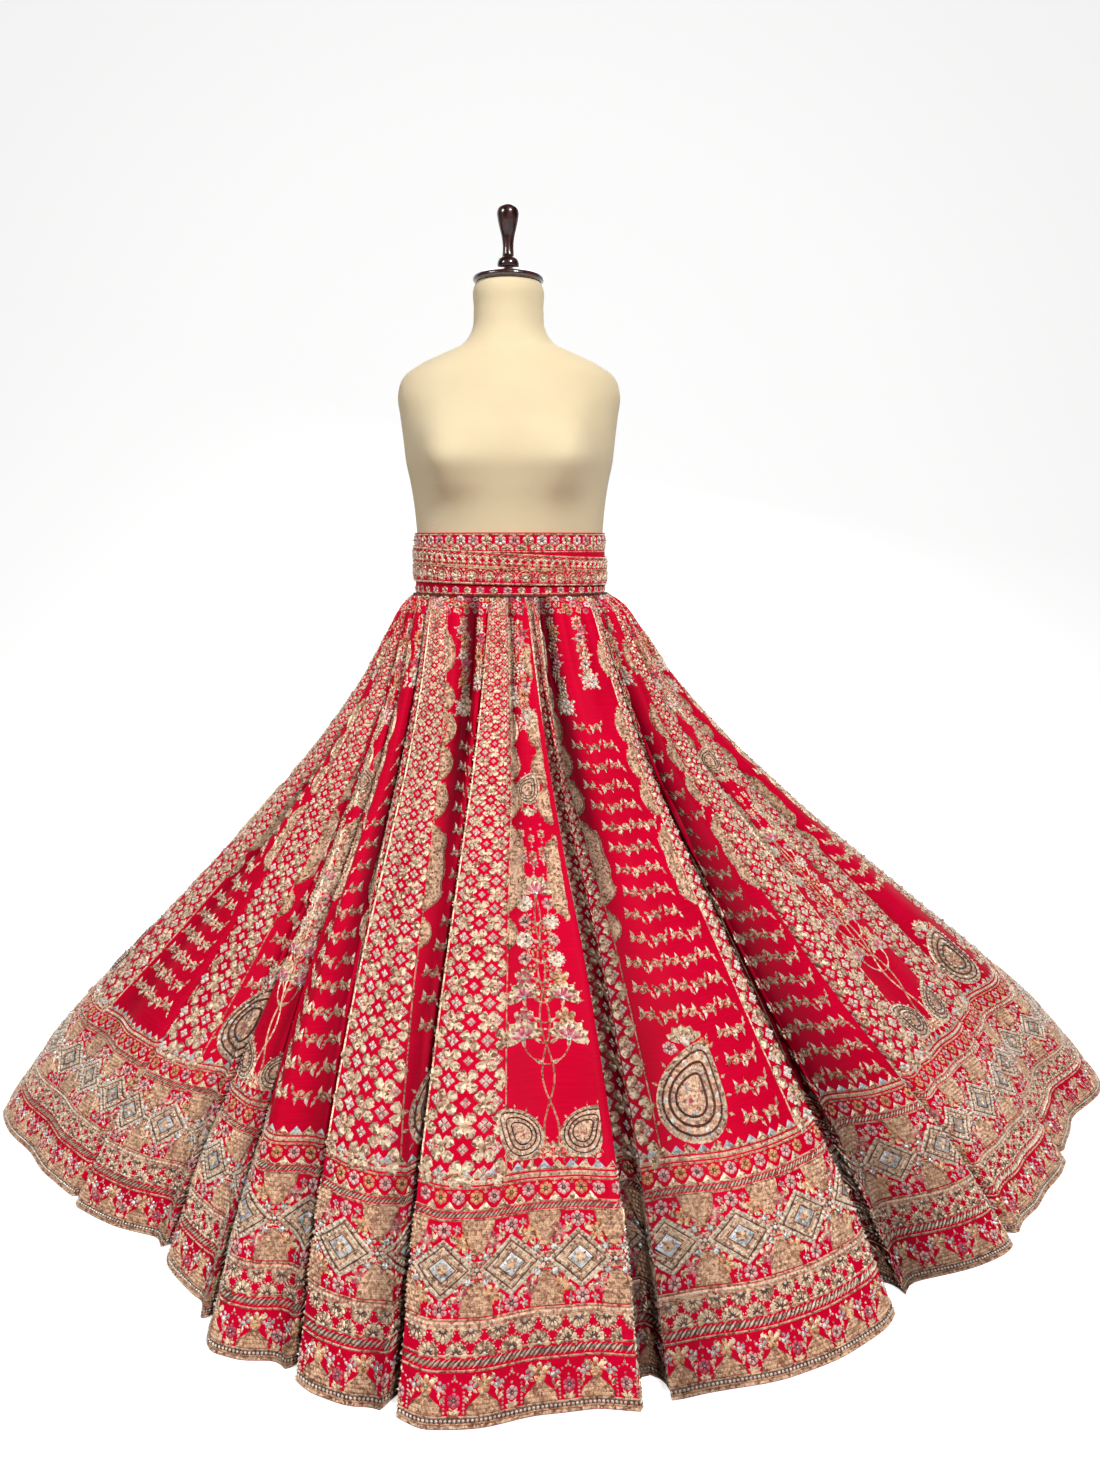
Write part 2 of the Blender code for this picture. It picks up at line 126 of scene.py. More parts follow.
# height, half width, depth to the front, depth to the back, bust fullness
TORSO = (
    (0.5600, 0.122, 0.094, 0.100, 0.000), (0.5740, 0.146, 0.111, 0.119, 0.000),
    (0.6200, 0.158, 0.118, 0.130, 0.000), (0.6800, 0.157, 0.115, 0.128, 0.000),
    (0.7350, 0.146, 0.106, 0.115, 0.000), (0.7540, 0.1385, 0.1005, 0.1065, 0.000),
    (0.7700, 0.1345, 0.0980, 0.0985, 0.000), (0.7810, 0.1395, 0.1045, 0.1045, 0.000),
    (0.8000, 0.1380, 0.1030, 0.1025, 0.000), (0.8300, 0.1370, 0.1020, 0.1015, 0.000),
    (0.8600, 0.1388, 0.1038, 0.1036, 0.000), (0.9000, 0.1420, 0.1085, 0.1045, 0.005),
    (0.9350, 0.1470, 0.1160, 0.1030, 0.018), (0.9650, 0.1530, 0.1220, 0.1050, 0.024),
    (0.9950, 0.1560, 0.1180, 0.1060, 0.017), (1.0300, 0.1600, 0.1070, 0.1050, 0.006),
    (1.0600, 0.1630, 0.0980, 0.1000, 0.000), (1.0830, 0.1560, 0.0890, 0.0930, 0.000),
    (1.1020, 0.1310, 0.0790, 0.0830, 0.000), (1.1180, 0.0960, 0.0690, 0.0710, 0.000),
    (1.1330, 0.0660, 0.0590, 0.0590, 0.000), (1.1500, 0.0540, 0.0530, 0.0510, 0.000),
    (1.1800, 0.0505, 0.0500, 0.0490, 0.000), (1.2100, 0.0500, 0.0495, 0.0490, 0.000),
    (1.2160, 0.0470, 0.0465, 0.0460, 0.000),
)
TORSO_SIDES = 96
TORSO_RINGS = 110
BUST_ANGLE = 34.0       # degrees from the front to the fullest place on each side
BUST_SPREAD = 17.0
BUST_SIDEWAYS = 0.45    # how much of the fullness goes out to the side


def smooth(x):
    """An eased step from 0 to 1."""
    x = np.clip(x, 0.0, 1.0)
    return x * x * (3.0 - 2.0 * x)


def mesh_piece(name, points, faces, finishes, threads=None, shade_smooth=True):
    """A mesh object from an array of points and arrays of triangles or quads."""
    mesh = bpy.data.meshes.new(name)
    faces = [np.asarray(group) for group in faces if len(group)]
    corners = np.concatenate([group.ravel() for group in faces])
    sizes = np.concatenate([np.full(len(group), group.shape[1]) for group in faces])
    mesh.vertices.add(len(points))
    mesh.vertices.foreach_set("co", np.asarray(points, np.float32).ravel())
    mesh.loops.add(len(corners))
    mesh.loops.foreach_set("vertex_index", corners.astype(np.int32))
    mesh.polygons.add(len(sizes))
    starts = np.concatenate(([0], np.cumsum(sizes)[:-1]))
    mesh.polygons.foreach_set("loop_start", starts.astype(np.int32))
    mesh.polygons.foreach_set("use_smooth", np.full(len(sizes), shade_smooth))
    for finish in finishes:
        mesh.materials.append(finish.material)
    if threads is not None:
        mesh.polygons.foreach_set("material_index", np.asarray(threads, np.int32))
    mesh.update(calc_edges=True)
    mesh.validate()
    made = bpy.data.objects.new(name, mesh)
    bpy.context.scene.collection.objects.link(made)
    return made


def grid_faces(rows, columns, start=0, flip=False):
    """Quads of a grid of points, row by row."""
    corner = start + np.arange(rows - 1)[:, None] * columns + np.arange(columns - 1)
    faces = np.stack((corner, corner + columns, corner + columns + 1, corner + 1), axis=-1).reshape(-1, 4)
    return faces[:, ::-1] if flip else faces


table = np.array(TORSO)
lengths = np.concatenate(([0.0], np.cumsum(np.hypot(np.diff(table[:, 0]), np.diff(table[:, 1])))))
fine = np.linspace(0.0, lengths[-1], TORSO_RINGS)


def eased(values):
    """The table's values along the body, rounded between its rows."""
    slopes = np.gradient(values, lengths)
    i = np.clip(np.searchsorted(lengths, fine) - 1, 0, len(lengths) - 2)
    span = lengths[i + 1] - lengths[i]
    x = (fine - lengths[i]) / span
    return (
        values[i] * (2 * x**3 - 3 * x**2 + 1) + values[i + 1] * (3 * x**2 - 2 * x**3)
        + span * (slopes[i] * (x**3 - 2 * x**2 + x) + slopes[i + 1] * (x**3 - x**2))
    )


height, half_width, front, back, bust = (eased(table[:, column])[:, None] for column in range(5))
turn = np.linspace(-math.pi, math.pi, TORSO_SIDES + 1)[None, :-1]
forward = np.cos(turn)
swell = np.exp(-(((np.abs(np.degrees(turn)) - BUST_ANGLE) / BUST_SPREAD) ** 2))
depth = back + (front - back) * smooth(0.5 + 3.0 * forward)
body = np.stack(np.broadcast_arrays(
    half_width * np.sin(turn) + bust * swell * BUST_SIDEWAYS * np.sin(turn),
    -depth * forward - bust * swell, height,
), axis=-1)
rings = np.arange(TORSO_RINGS * TORSO_SIDES).reshape(TORSO_RINGS, TORSO_SIDES)
quads = [
    np.stack((low, np.roll(low, -1), np.roll(high, -1), high), axis=-1)
    for low, high in zip(rings, rings[1:])
]
foot = np.full(TORSO_SIDES, rings.size)
bottom = np.stack((np.roll(rings[0], -1), rings[0], foot), axis=-1)
top = np.stack((rings[-1], np.roll(rings[-1], -1), foot + 1), axis=-1)
points = np.vstack((body.reshape(-1, 3), (0.0, 0.0, TORSO[0][0]), (0.0, 0.0, TORSO[-1][0])))

jersey = Finish("cream_jersey", Sheen_Weight=0.25, Sheen_Roughness=0.5, Specular_IOR_Level=0.25)
where = jersey.place()
knit = jersey.start.node(
    "TexWave", {"wave_type": "BANDS", "bands_direction": "DIAGONAL"},
    {"Vector": where, "Scale": 420.0, "Distortion": 1.5, "Detail": 1.0},
)
soft = jersey.noise(where, 9.0, 4.0)
jersey.join("Base Color", soft.fit(0.3, 0.7).mix((0.86, 0.69, 0.42), (0.92, 0.765, 0.505)))
jersey.join("Roughness", soft.fit(0.0, 1.0, 0.72, 0.9))
jersey.bump(knit + 0.6 * jersey.noise(where, 1500.0), 0.00025, 0.7)
form = mesh_piece("form_body", points, quads + [bottom, top], [jersey])
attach(form, "root")
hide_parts("form_torso")

# ---- dress form: neck cap and finial ------------------------------------------
# Two turned pieces of dark polished mahogany: a low domed cap that closes the
# neck, and the slim finial screwed into it, by which the form is lifted.
NECK_TOP = 1.2160

# height above the neck and radius, from the top down
NECK_CAP = (
    (0.0200, 0.0180), (0.0185, 0.0250), (0.0150, 0.0360), (0.0105, 0.0450),
    (0.0090, 0.0500), (0.0050, 0.0515), (0.0010, 0.0490), (0.0003, 0.0440),
)
FINIAL = (
    (0.1078, 0.0000), (0.1062, 0.0085), (0.1020, 0.0140), (0.0960, 0.0160), (0.0880, 0.0152),
    (0.0760, 0.0125), (0.0640, 0.0095), (0.0520, 0.0080), (0.0400, 0.0085), (0.0360, 0.0105),
    (0.0330, 0.0140), (0.0270, 0.0160), (0.0215, 0.0150), (0.0203, 0.0125), (0.0203, 0.0000),
)

mahogany = Finish("dark_mahogany", Coat_Weight=0.8, Coat_Roughness=0.06, Specular_IOR_Level=0.5)
grain = mahogany.start.node(
    "TexWave", {"wave_type": "RINGS", "rings_direction": "Z"},
    {"Vector": mahogany.scaled(mahogany.place(), 1.0, 1.0, 0.12),
     "Scale": 60.0, "Distortion": 9.0, "Detail": 3.0, "Detail Scale": 1.2},
)
mahogany.join("Base Color", grain.mix((0.012, 0.0022, 0.002), (0.052, 0.010, 0.006)))
mahogany.join("Roughness", grain.fit(0.0, 1.0, 0.22, 0.34))
mahogany.bump(grain, 0.00015, 0.4)


def turned(name, profile, base):
    """A turned piece: its profile at +X, from the top down, rounded and spun."""
    mesh = bpy.data.meshes.new(name)
    edges = [(i, i + 1) for i in range(len(profile) - 1)]
    mesh.from_pydata([(radius, 0.0, base + height) for height, radius in profile], edges, [])
    mesh.materials.append(mahogany.material)
    made = bpy.data.objects.new(name, mesh)
    bpy.context.scene.collection.objects.link(made)
    spin = made.modifiers.new("lathe", "SCREW")
    spin.axis = "Z"
    spin.steps = spin.render_steps = 72
    spin.use_merge_vertices = True
    spin.merge_threshold = 0.0001
    spin.use_smooth_shade = True
    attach(made, "root")
    return made


def rounded(profile):
    """A turned profile with its corners eased by two points between each two."""
    rows = np.array(profile)
    out = [tuple(rows[0])]
    for i in range(len(rows) - 1):
        before, here = rows[max(i - 1, 0)], rows[i]
        there, after = rows[i + 1], rows[min(i + 2, len(rows) - 1)]
        for x in (1.0 / 3.0, 2.0 / 3.0, 1.0):
            spline = 0.5 * (
                2 * here + (there - before) * x + (2 * before - 5 * here + 4 * there - after) * x**2
                + (3 * here - before - 3 * there + after) * x**3
            )
            out.append((float(spline[0]), max(float(spline[1]), 0.0)))
    return out


cap = turned("turned_neck_cap", rounded(NECK_CAP), NECK_TOP)
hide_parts("neck_cap")
finial = turned("turned_finial", [FINIAL[0]] + rounded(FINIAL[1:-1]) + [FINIAL[-1]], NECK_TOP)
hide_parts("finial")

# ---- skirt: the twenty kalis ------------------------------------------------------
# The skirt is twenty tapered panels of crimson silk on a firm backing, sewn side
# by side and gathered to the band at each seam and once between. They flare to
# the hem, which the backing holds out in long folds with the seams inside them.
KALIS = 20
KALI_WIDTH_TOP = 0.065
KALI_WIDTH_HEM = 0.290
CLOTH = 0.0018
SEAM_GAP = 0.0003
Z_GATHER = 0.7720
Z_HEM = 0.0010
GATHER_HALF_X = 0.1440
GATHER_HALF_Y = 0.1090
COLUMNS = 34
ROWS = 34
LONG_FOLD = 0.30        # a fold that takes up more of a panel than this is a long one
SHORT_AT_WAIST = 0.24   # the share that the others start with under the gathers
FOLD_FULLNESS = 0.93    # depth of a fold for half of the cloth in it

# One row for each fold, from the back round by the wearer's right: its place at
# the waist and at the hem in degrees from the front, how far it bows between
# them, the share of a panel that it takes up at the hem, how much of it lies
# before the seam, its mouth, and how far it leans along the hem.
#     waist    hem    bow   share before mouth  lean
FOLDS = (
    (-184.0, -178.0, 0.0, 0.16, 0.50, 0.022, 0.000),
    (-165.0, -160.0, 0.0, 0.22, 0.50, 0.018, 0.012),
    (-147.0, -141.0, 1.5, 0.13, 0.50, 0.022, 0.000),
    (-129.0, -121.5, 0.0, 0.20, 0.50, 0.020, -0.008),
    (-113.0, -101.0, -1.5, 0.12, 0.50, 0.024, 0.000),
    (-98.0, -81.0, 0.0, 0.14, 0.50, 0.026, 0.000),
    (-85.0, -57.0, -1.0, 0.13, 0.50, 0.026, 0.000),
    (-74.0, -40.8, 0.0, 0.40, 1.00, 0.024, 0.022),
    (-63.0, -28.1, -4.5, 0.48, 1.00, 0.020, 0.034),
    (-49.0, -17.2, -3.0, 0.48, 1.00, 0.018, 0.034),
    (-10.5, -7.8, -1.2, 0.54, 1.00, 0.018, 0.040),
    (12.0, 13.4, 1.8, 0.34, -0.20, 0.030, 0.000),
    (55.0, 39.0, 0.0, 0.36, -0.30, 0.034, 0.004),
    (69.0, 55.0, -3.2, 0.18, 0.50, 0.030, 0.000),
    (80.0, 71.5, 1.8, 0.17, 0.50, 0.026, 0.000),
    (94.0, 90.0, 0.0, 0.13, 0.50, 0.026, 0.000),
    (109.0, 108.5, 0.0, 0.15, 0.50, 0.022, 0.006),
    (124.0, 127.0, -1.5, 0.13, 0.50, 0.024, 0.000),
    (141.0, 146.0, 0.0, 0.21, 0.50, 0.018, -0.010),
    (158.0, 164.0, 1.5, 0.14, 0.50, 0.022, 0.000),
)
# the hem's plan without its folds: degrees from the front and radius
HEM_PLAN = (
    (-180.0, 0.760), (-160.0, 0.765), (-140.0, 0.774), (-122.0, 0.782), (-104.0, 0.788),
    (-90.0, 0.790), (-80.0, 0.778), (-71.0, 0.735), (-62.0, 0.690), (-51.0, 0.650),
    (-42.2, 0.615), (-39.6, 0.634), (-31.0, 0.650), (-29.2, 0.654), (-27.0, 0.704),
    (-18.0, 0.697), (-16.4, 0.713), (-11.0, 0.724), (-8.1, 0.722), (-6.5, 0.742),
    (-2.0, 0.739), (4.7, 0.727), (9.0, 0.718), (12.0, 0.728), (13.6, 0.735),
    (20.0, 0.736), (30.0, 0.742), (37.5, 0.737), (40.6, 0.719), (47.0, 0.746),
    (54.0, 0.778), (57.0, 0.774), (65.5, 0.808), (73.0, 0.828), (79.0, 0.858),
    (86.0, 0.932), (95.0, 0.960), (104.0, 0.940), (115.0, 0.895), (127.0, 0.850),
    (142.0, 0.810), (160.0, 0.778),
)
# drop from waist (0) to hem (1), and how far out the panels stand by then
FLARE = (
    (0.000, 0.000), (0.012, 0.020), (0.030, 0.042), (0.084, 0.078), (0.150, 0.122),
    (0.214, 0.172), (0.307, 0.255), (0.450, 0.405), (0.656, 0.640), (0.750, 0.752),
    (0.872, 0.890), (1.000, 1.000),
)

# the gather in a panel: its middle, and by drop half its share of the panel and its depth
GATHER_MIDDLE = 0.53
GATHER_HALF_SHARE = (0.0, 0.14, 0.34, 0.60), (0.150, 0.150, 0.190, 0.240)
GATHER_DEPTH = (0.0, 0.03, 0.12, 0.30, 0.55, 1.0), (0.0055, 0.0160, 0.0240, 0.0200, 0.0110, 0.0080)

# the table of folds, run on past the back at both ends
folds = np.array(FOLDS)
full_turn = (360.0, 360.0, 0.0, 0.0, 0.0, 0.0, 0.0)
seams = np.vstack((folds[-2:] - full_turn, folds, folds[:3] + full_turn))
seam_numbers = np.arange(-2, KALIS + 3)


def hem_radius(angle):
    """Radius of the unfolded hem at an angle, its corners eased over 3 degrees."""
    plan = np.array(HEM_PLAN)
    return sum(
        weight * np.interp(angle + shift, plan[:, 0], plan[:, 1], period=360.0)
        for shift, weight in ((-1.6, 0.15), (-0.8, 0.22), (0.0, 0.26), (0.8, 0.22), (1.6, 0.15))
    )


def kali_width(t):
    return KALI_WIDTH_TOP + (KALI_WIDTH_HEM - KALI_WIDTH_TOP) * t


def fold_share(at_hem, t):
    """The share of a panel that a fold takes up at a drop."""
    at_waist = LONG_FOLD if at_hem > LONG_FOLD else SHORT_AT_WAIST
    return at_waist + (at_hem - at_waist) * smooth(t / 0.9)


def skirt_point(k, t):
    """Middle of the cloth at panel coordinate k (0 to KALIS) and drop t (0 to 1),
    and its painted fold shade from 0 to 1, which grows with its depth in a fold or gather and beside a long
    fold's mouth."""
    k, t = np.broadcast_arrays(np.asarray(k, float), np.asarray(t, float))
    shut = k.copy()     # the same coordinate with each fold drawn together on its seam
    inward, along, painted_flank_shade = np.zeros_like(k), np.zeros_like(k), np.zeros_like(k)
    last_end = last_mouth = None
    for number, (_, _, _, at_hem, before_seam, mouth, lean_at_hem) in zip(seam_numbers, seams):
        long = at_hem > LONG_FOLD
        share = fold_share(at_hem, t)
        start = number - before_seam * share
        end = start + share
        half_mouth = 0.5 * mouth * (0.28 + 0.72 * t)
        if last_end is not None:
            # the open cloth between the last fold and this one, then the fold itself
            open_part = (k > last_end) & (k <= start)
            run = (k - last_end) / np.maximum(start - last_end, 1e-6)
            shut = np.where(open_part, number - 1 + run, shut)
            along = np.where(open_part, last_mouth * (1.0 - run) - half_mouth * run, along)
            folded = (k > start) & (k <= end)
            place = (k - 0.5 * (start + end)) / (0.5 * share)
            depth = FOLD_FULLNESS * (0.5 * share * kali_width(t)) * (0.45 + 0.55 * smooth(t / 0.04))
            lean = lean_at_hem * smooth(t / 0.8)
            depth = np.sqrt(np.maximum(depth**2 - (0.6 * lean) ** 2, (0.4 * depth) ** 2))
            bend = smooth(1.0 - np.abs(place))
            inward = np.where(folded, depth * bend, inward)
            wall = place + np.sin(math.pi * place) * (0.7 * smooth(t / 0.25) * long)
            along = np.where(folded, lean * bend + half_mouth * wall, along)
            shut = np.where(folded, float(number), shut)
            if long:
                # painted shade: the cloth beside a long fold's mouth is darkened as if in the fold's shadow
                reach = np.interp(-before_seam, (0.20, 0.30), (0.26, 0.52))
                after = smooth(1.0 - (k - end) / reach) * (k > end) * (before_seam < 0.0)
                before = smooth(1.0 - (start - k) / 0.16) * (k < start) * (before_seam > 0.6)
                strength = np.interp(-before_seam, (0.20, 0.30), (0.68, 0.96))
                painted_flank_shade = np.maximum(painted_flank_shade, strength * (after + before) * smooth(t / 0.30))
        last_end, last_mouth = end, half_mouth
    # the gather near the middle of each panel, deepest a little below the band
    panel = np.floor(k)
    which = panel % KALIS
    gather_at = GATHER_MIDDLE + 0.06 * np.sin(which * 2.1)
    pinch = smooth(1.0 - np.abs(k - panel - gather_at) / np.interp(t, *GATHER_HALF_SHARE))
    sunk = np.interp(t, *GATHER_DEPTH) * (1.0 + 0.35 * np.sin(which * 1.7 + 0.6))
    inward = inward + sunk * pinch
    # painted shade: the colour darkens with the cloth's depth in a fold or gather
    below = smooth(t / 0.1)
    shade_from, shade_over = 0.001 + 0.002 * below, 0.006 + 0.008 * below + 0.010 * t
    painted_fold_shade = np.maximum(painted_flank_shade, smooth((inward - shade_from) / shade_over))
    # from the waist's oval to the hem's plan, and in from there by the fold
    waist_degrees, hem_degrees, bow = (
        np.interp(shut, seam_numbers, seams[:, i]) for i in range(3)
    )
    hem_degrees = hem_degrees + 16.0 * (t * (1.0 - t)) ** 2 * bow
    waist_angle, hem_angle = np.radians(waist_degrees), np.radians(hem_degrees)
    spread = np.interp(t, *np.transpose(FLARE))
    radius = hem_radius(hem_degrees)
    x = GATHER_HALF_X * np.sin(waist_angle) * (1.0 - spread) + radius * np.sin(hem_angle) * spread
    y = -GATHER_HALF_Y * np.cos(waist_angle) * (1.0 - spread) - radius * np.cos(hem_angle) * spread
    size = np.hypot(x, y)
    out_x, out_y = x / size, y / size
    z = (Z_GATHER - SEAM_GAP) + (Z_HEM - Z_GATHER + SEAM_GAP) * t
    points = (x - out_x * inward - out_y * along, y - out_y * inward + out_x * along, z)
    return np.stack(points, axis=-1), painted_fold_shade


class Cloth:
    """A laid piece of cloth: points row by row from its top edge, left to right
    at even steps of its width, with normals, widths and lengths in metres."""

    def __init__(self, points, drops, closed=False, painted_fold_shade=None):
        self.painted_fold_shade = painted_fold_shade
        if closed:
            points = np.concatenate((points[:, -2:-1], points, points[:, 1:2]), axis=1)
        around = points[:, 2:] - points[:, :-2]
        down = np.gradient(points, drops, axis=0)[:, 1:-1]
        normals = np.cross(down, around)
        self.normals = normals / np.linalg.norm(normals, axis=-1, keepdims=True)
        self.points = points[:, 1:-1]
        self.drops = drops
        self.widths = np.linalg.norm(np.diff(self.points, axis=1), axis=-1).sum(axis=1)
        middle = np.linalg.norm(np.diff(self.points, axis=0), axis=-1).mean(axis=1)
        self.travel = np.concatenate(([0.0], np.cumsum(middle)))

    def width(self, drop):
        return np.interp(drop, self.drops, self.widths)

    def drop_at(self, length):
        return np.interp(length, self.travel, self.drops)

    def length_at(self, drop):
        return np.interp(drop, self.drops, self.travel)

    def at(self, across, drop, rise):
        """Points at these places of the cloth, raised off its face, and the painted
        fold shade there."""
        rows, columns = self.points.shape[:2]
        right = np.clip(across, 0.0, 1.0) * (columns - 1)
        below = np.interp(drop, self.drops, np.arange(rows))
        column = np.minimum(right.astype(int), columns - 2)
        row = np.minimum(below.astype(int), rows - 2)
        right, below = right - column, below - row

        def blend(grid):
            upper = grid[row, column].T * (1.0 - right) + grid[row, column + 1].T * right
            lower = grid[row + 1, column].T * (1.0 - right) + grid[row + 1, column + 1].T * right
            return (upper * (1.0 - below) + lower * below).T

        points = blend(self.points) + blend(self.normals) * (0.5 * CLOTH + rise)[:, None]
        return points, None if self.painted_fold_shade is None else blend(self.painted_fold_shade)


def kali_cloth(number):
    """One panel of the skirt, its columns at even steps of the cloth's width."""
    drops = np.linspace(0.0, 1.0, ROWS + 1) ** 1.3
    samples = np.linspace(number, number + 1.0, 321)
    path, _ = skirt_point(samples[None, :], drops[:, None])
    steps = np.linalg.norm(np.diff(path, axis=1), axis=-1)
    k = np.empty((len(drops), COLUMNS + 3))
    for row, run in enumerate(steps):
        travelled = np.concatenate(([0.0], np.cumsum(run)))
        k[row, 1:-1] = np.interp(np.linspace(0.0, travelled[-1], COLUMNS + 1), travelled, samples)
    k[:, 0] = 2.0 * k[:, 1] - k[:, 2]
    k[:, -1] = 2.0 * k[:, -2] - k[:, -3]
    gap = 0.1 * SEAM_GAP / kali_width(drops)
    k[:, 1] += gap
    k[:, -2] -= gap
    t = np.repeat(drops[:, None], k.shape[1], axis=1)
    points, painted_fold_shade = skirt_point(k, t)
    plain = Cloth(points, drops)
    # small unevenness: soft pulls below the gathers, shallow cockles lower down
    inside = np.sin(np.pi * (k - number).clip(0.0, 1.0)) ** 0.7
    pulls = np.sin(31.0 * k + 2.0 * np.sin(5.0 * t)) * (0.0022 + 0.0012 * np.sin(7.0 * k))
    pulls = pulls * np.exp(-((t / 0.16) ** 2))
    cockle = np.sin(9.0 * k + 11.0 * t + 2.0 * np.sin(4.0 * k)) * np.sin(7.0 * t + 1.7 * k) * 0.0016
    lift = ((pulls + cockle * smooth(t / 0.3) * smooth((1.0 - t) / 0.1)) * inside)[:, 1:-1]
    points[:, 1:-1] += plain.normals * lift[..., None]
    return Cloth(points, drops, painted_fold_shade=painted_fold_shade[:, 1:-1])


def keep_painted_fold_shade(made, values):
    """Notes on each point its painted fold shade, by which its finish darkens it."""
    noted = made.data.attributes.new("painted_fold_shade", "FLOAT", "POINT")
    noted.data.foreach_set("value", values.astype(np.float32))


silk = Finish("crimson_silk", Specular_IOR_Level=0.03)
cut = silk.place("UV")
weft = silk.start.node(
    "TexWave", {"wave_type": "BANDS", "bands_direction": "Y"},
    {"Vector": cut, "Scale": 330.0, "Distortion": 2.0, "Detail": 2.0, "Detail Scale": 3.0},
)
slub = silk.noise(silk.scaled(cut, 14.0, 160.0, 1.0), 2.0, 3.0)
shading = silk.noise(silk.place(), 7.0, 3.0)
tone = (0.6 * shading + 0.4 * slub).fit(0.35, 0.65)
# painted shade: the silk's colour goes to near black with the painted fold shade
sunk = silk.start.node("Attribute", {"attribute_name": "painted_fold_shade"}, {}, "Fac")
red = tone.mix((0.54, 0.0, 0.020), (0.76, 0.0, 0.036))
silk.join("Base Color", sunk.fit(0.0, 1.0, 0.0, 0.86).mix(red, (0.06, 0.0, 0.004)))
silk.join("Roughness", slub.fit(0.0, 1.0, 0.42, 0.62))
silk.bump(0.5 * weft + slub, 0.00018, 0.6)


def shell(name, cloth, top=None, bottom=None):
    """The cloth itself: a thin closed shell, with its flat shape as its map."""
    rows, columns = cloth.points.shape[:2]
    outer = cloth.points + cloth.normals * 0.5 * CLOTH
    inner = cloth.points - cloth.normals * 0.5 * CLOTH
    if top is not None:
        outer[0, :, 2] = inner[0, :, 2] = top
        outer[-1, :, 2] = inner[-1, :, 2] = bottom
    back = rows * columns
    grid = np.arange(back).reshape(rows, columns)
    rim = np.concatenate((grid[0], grid[1:, -1], grid[-1, -2::-1], grid[-2:0:-1, 0]))
    after = np.roll(rim, -1)
    edge = np.stack((rim, after, after + back, rim + back), axis=-1)
    made = mesh_piece(
        name, np.vstack((outer.reshape(-1, 3), inner.reshape(-1, 3))),
        [grid_faces(rows, columns), grid_faces(rows, columns, back, True), edge], [silk],
    )
    made.data.set_sharp_from_angle(angle=math.radians(60.0))
    across = np.linspace(0.0, 1.0, columns)[None, :] * cloth.widths[:, None]
    places = np.stack((across, np.repeat(cloth.travel[:, None], columns, axis=1)), axis=-1)
    corners = np.empty(len(made.data.loops), np.int32)
    made.data.loops.foreach_get("vertex_index", corners)
    flat = np.tile(places.reshape(-1, 2), (2, 1))[corners].astype(np.float32)
    made.data.uv_layers.new(name="cut").data.foreach_set("uv", flat.ravel())
    if cloth.painted_fold_shade is not None:
        keep_painted_fold_shade(made, np.tile(cloth.painted_fold_shade.ravel(), 2))
    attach(made, "root")
    return made


kali_cloths = [kali_cloth(number) for number in range(KALIS)]
for number, cloth in enumerate(kali_cloths):
    panel = shell(f"kali_{number + 1:02d}_silk", cloth, Z_GATHER - SEAM_GAP, Z_HEM)
    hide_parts(f"kali_{number + 1:02d}")

# ---- embroidery: the hem border ------------------------------------------------------
# Along the hem each kali carries rows of hand work: corded pearls, small flowers,
# roping, beaded diamonds between basket-stitch cones, fans, and domes over the
# edge, all in couched gold thread, floss in pink, orange and pale blue, and beads.
BORDER_TOP = 0.770      # where it starts down a kali, from waist (0) to hem (1)
EDGE = 0.0008           # what the needle leaves free beside a seam
FOOT = -0.0002          # where the stitches go into the cloth
THREADS = (
    #  name       pale                 deep                 metal rough
    ("gold", (1.00, 0.78, 0.54), (0.26, 0.105, 0.058), 0.32, 0.32),
    ("copper", (0.88, 0.54, 0.34), (0.26, 0.085, 0.045), 0.20, 0.40),
    ("pearl", (1.00, 0.97, 0.90), (0.60, 0.45, 0.33), 0.05, 0.14),
    ("silver", (0.92, 0.91, 0.87), (0.30, 0.29, 0.29), 0.35, 0.18),
    ("pink", (0.80, 0.17, 0.24), (0.42, 0.03, 0.08), 0.0, 0.55),
    ("blush", (0.95, 0.64, 0.60), (0.50, 0.16, 0.18), 0.0, 0.50),
    ("orange", (0.90, 0.48, 0.22), (0.50, 0.15, 0.05), 0.0, 0.50),
    ("ice", (0.62, 0.68, 0.71), (0.28, 0.31, 0.35), 0.20, 0.30),
    ("straw", (0.96, 0.64, 0.42), (0.38, 0.17, 0.095), 0.15, 0.40),
    # dark thread for outlines and fine lines, also laid under raised work as painted shade
    ("antique_and_shade", (0.16, 0.055, 0.035), (0.045, 0.008, 0.010), 0.20, 0.50),
)
GOLD, COPPER, PEARL, SILVER, PINK, BLUSH, ORANGE, ICE, STRAW, ANTIQUE_AND_SHADE = range(10)


def thread_finish(name, pale, deep, metal, rough):
    made = Finish(name, Metallic=metal, Specular_IOR_Level=0.5)
    place = made.place()
    glint = made.start.node(
        "TexVoronoi", {"feature": "F1"}, {"Vector": place, "Scale": 330.0}, "Color"
    )
    sparkle = made.start.node("SeparateColor", {}, {"Color": glint}, 0)
    patch = made.noise(place, 620.0, 2.0)
    tone = (0.8 * sparkle + 0.7 * patch).fit(0.38, 1.05)
    # painted shade: the thread's colour darkens with the painted fold shade of the cloth under it
    sunk = made.start.node("Attribute", {"attribute_name": "painted_fold_shade"}, {}, "Fac")
    shaded = [0.35 * part for part in deep]
    made.join("Base Color", sunk.fit(0.0, 1.0, 0.0, 0.80).mix(tone.mix(deep, pale), shaded))
    made.join("Roughness", sparkle.fit(0.0, 1.0, rough - 0.12, rough + 0.14))
    made.bump(made.noise(place, 900.0, 3.0), 0.0006, 0.8)
    return made


threads = [thread_finish(*row) for row in THREADS]


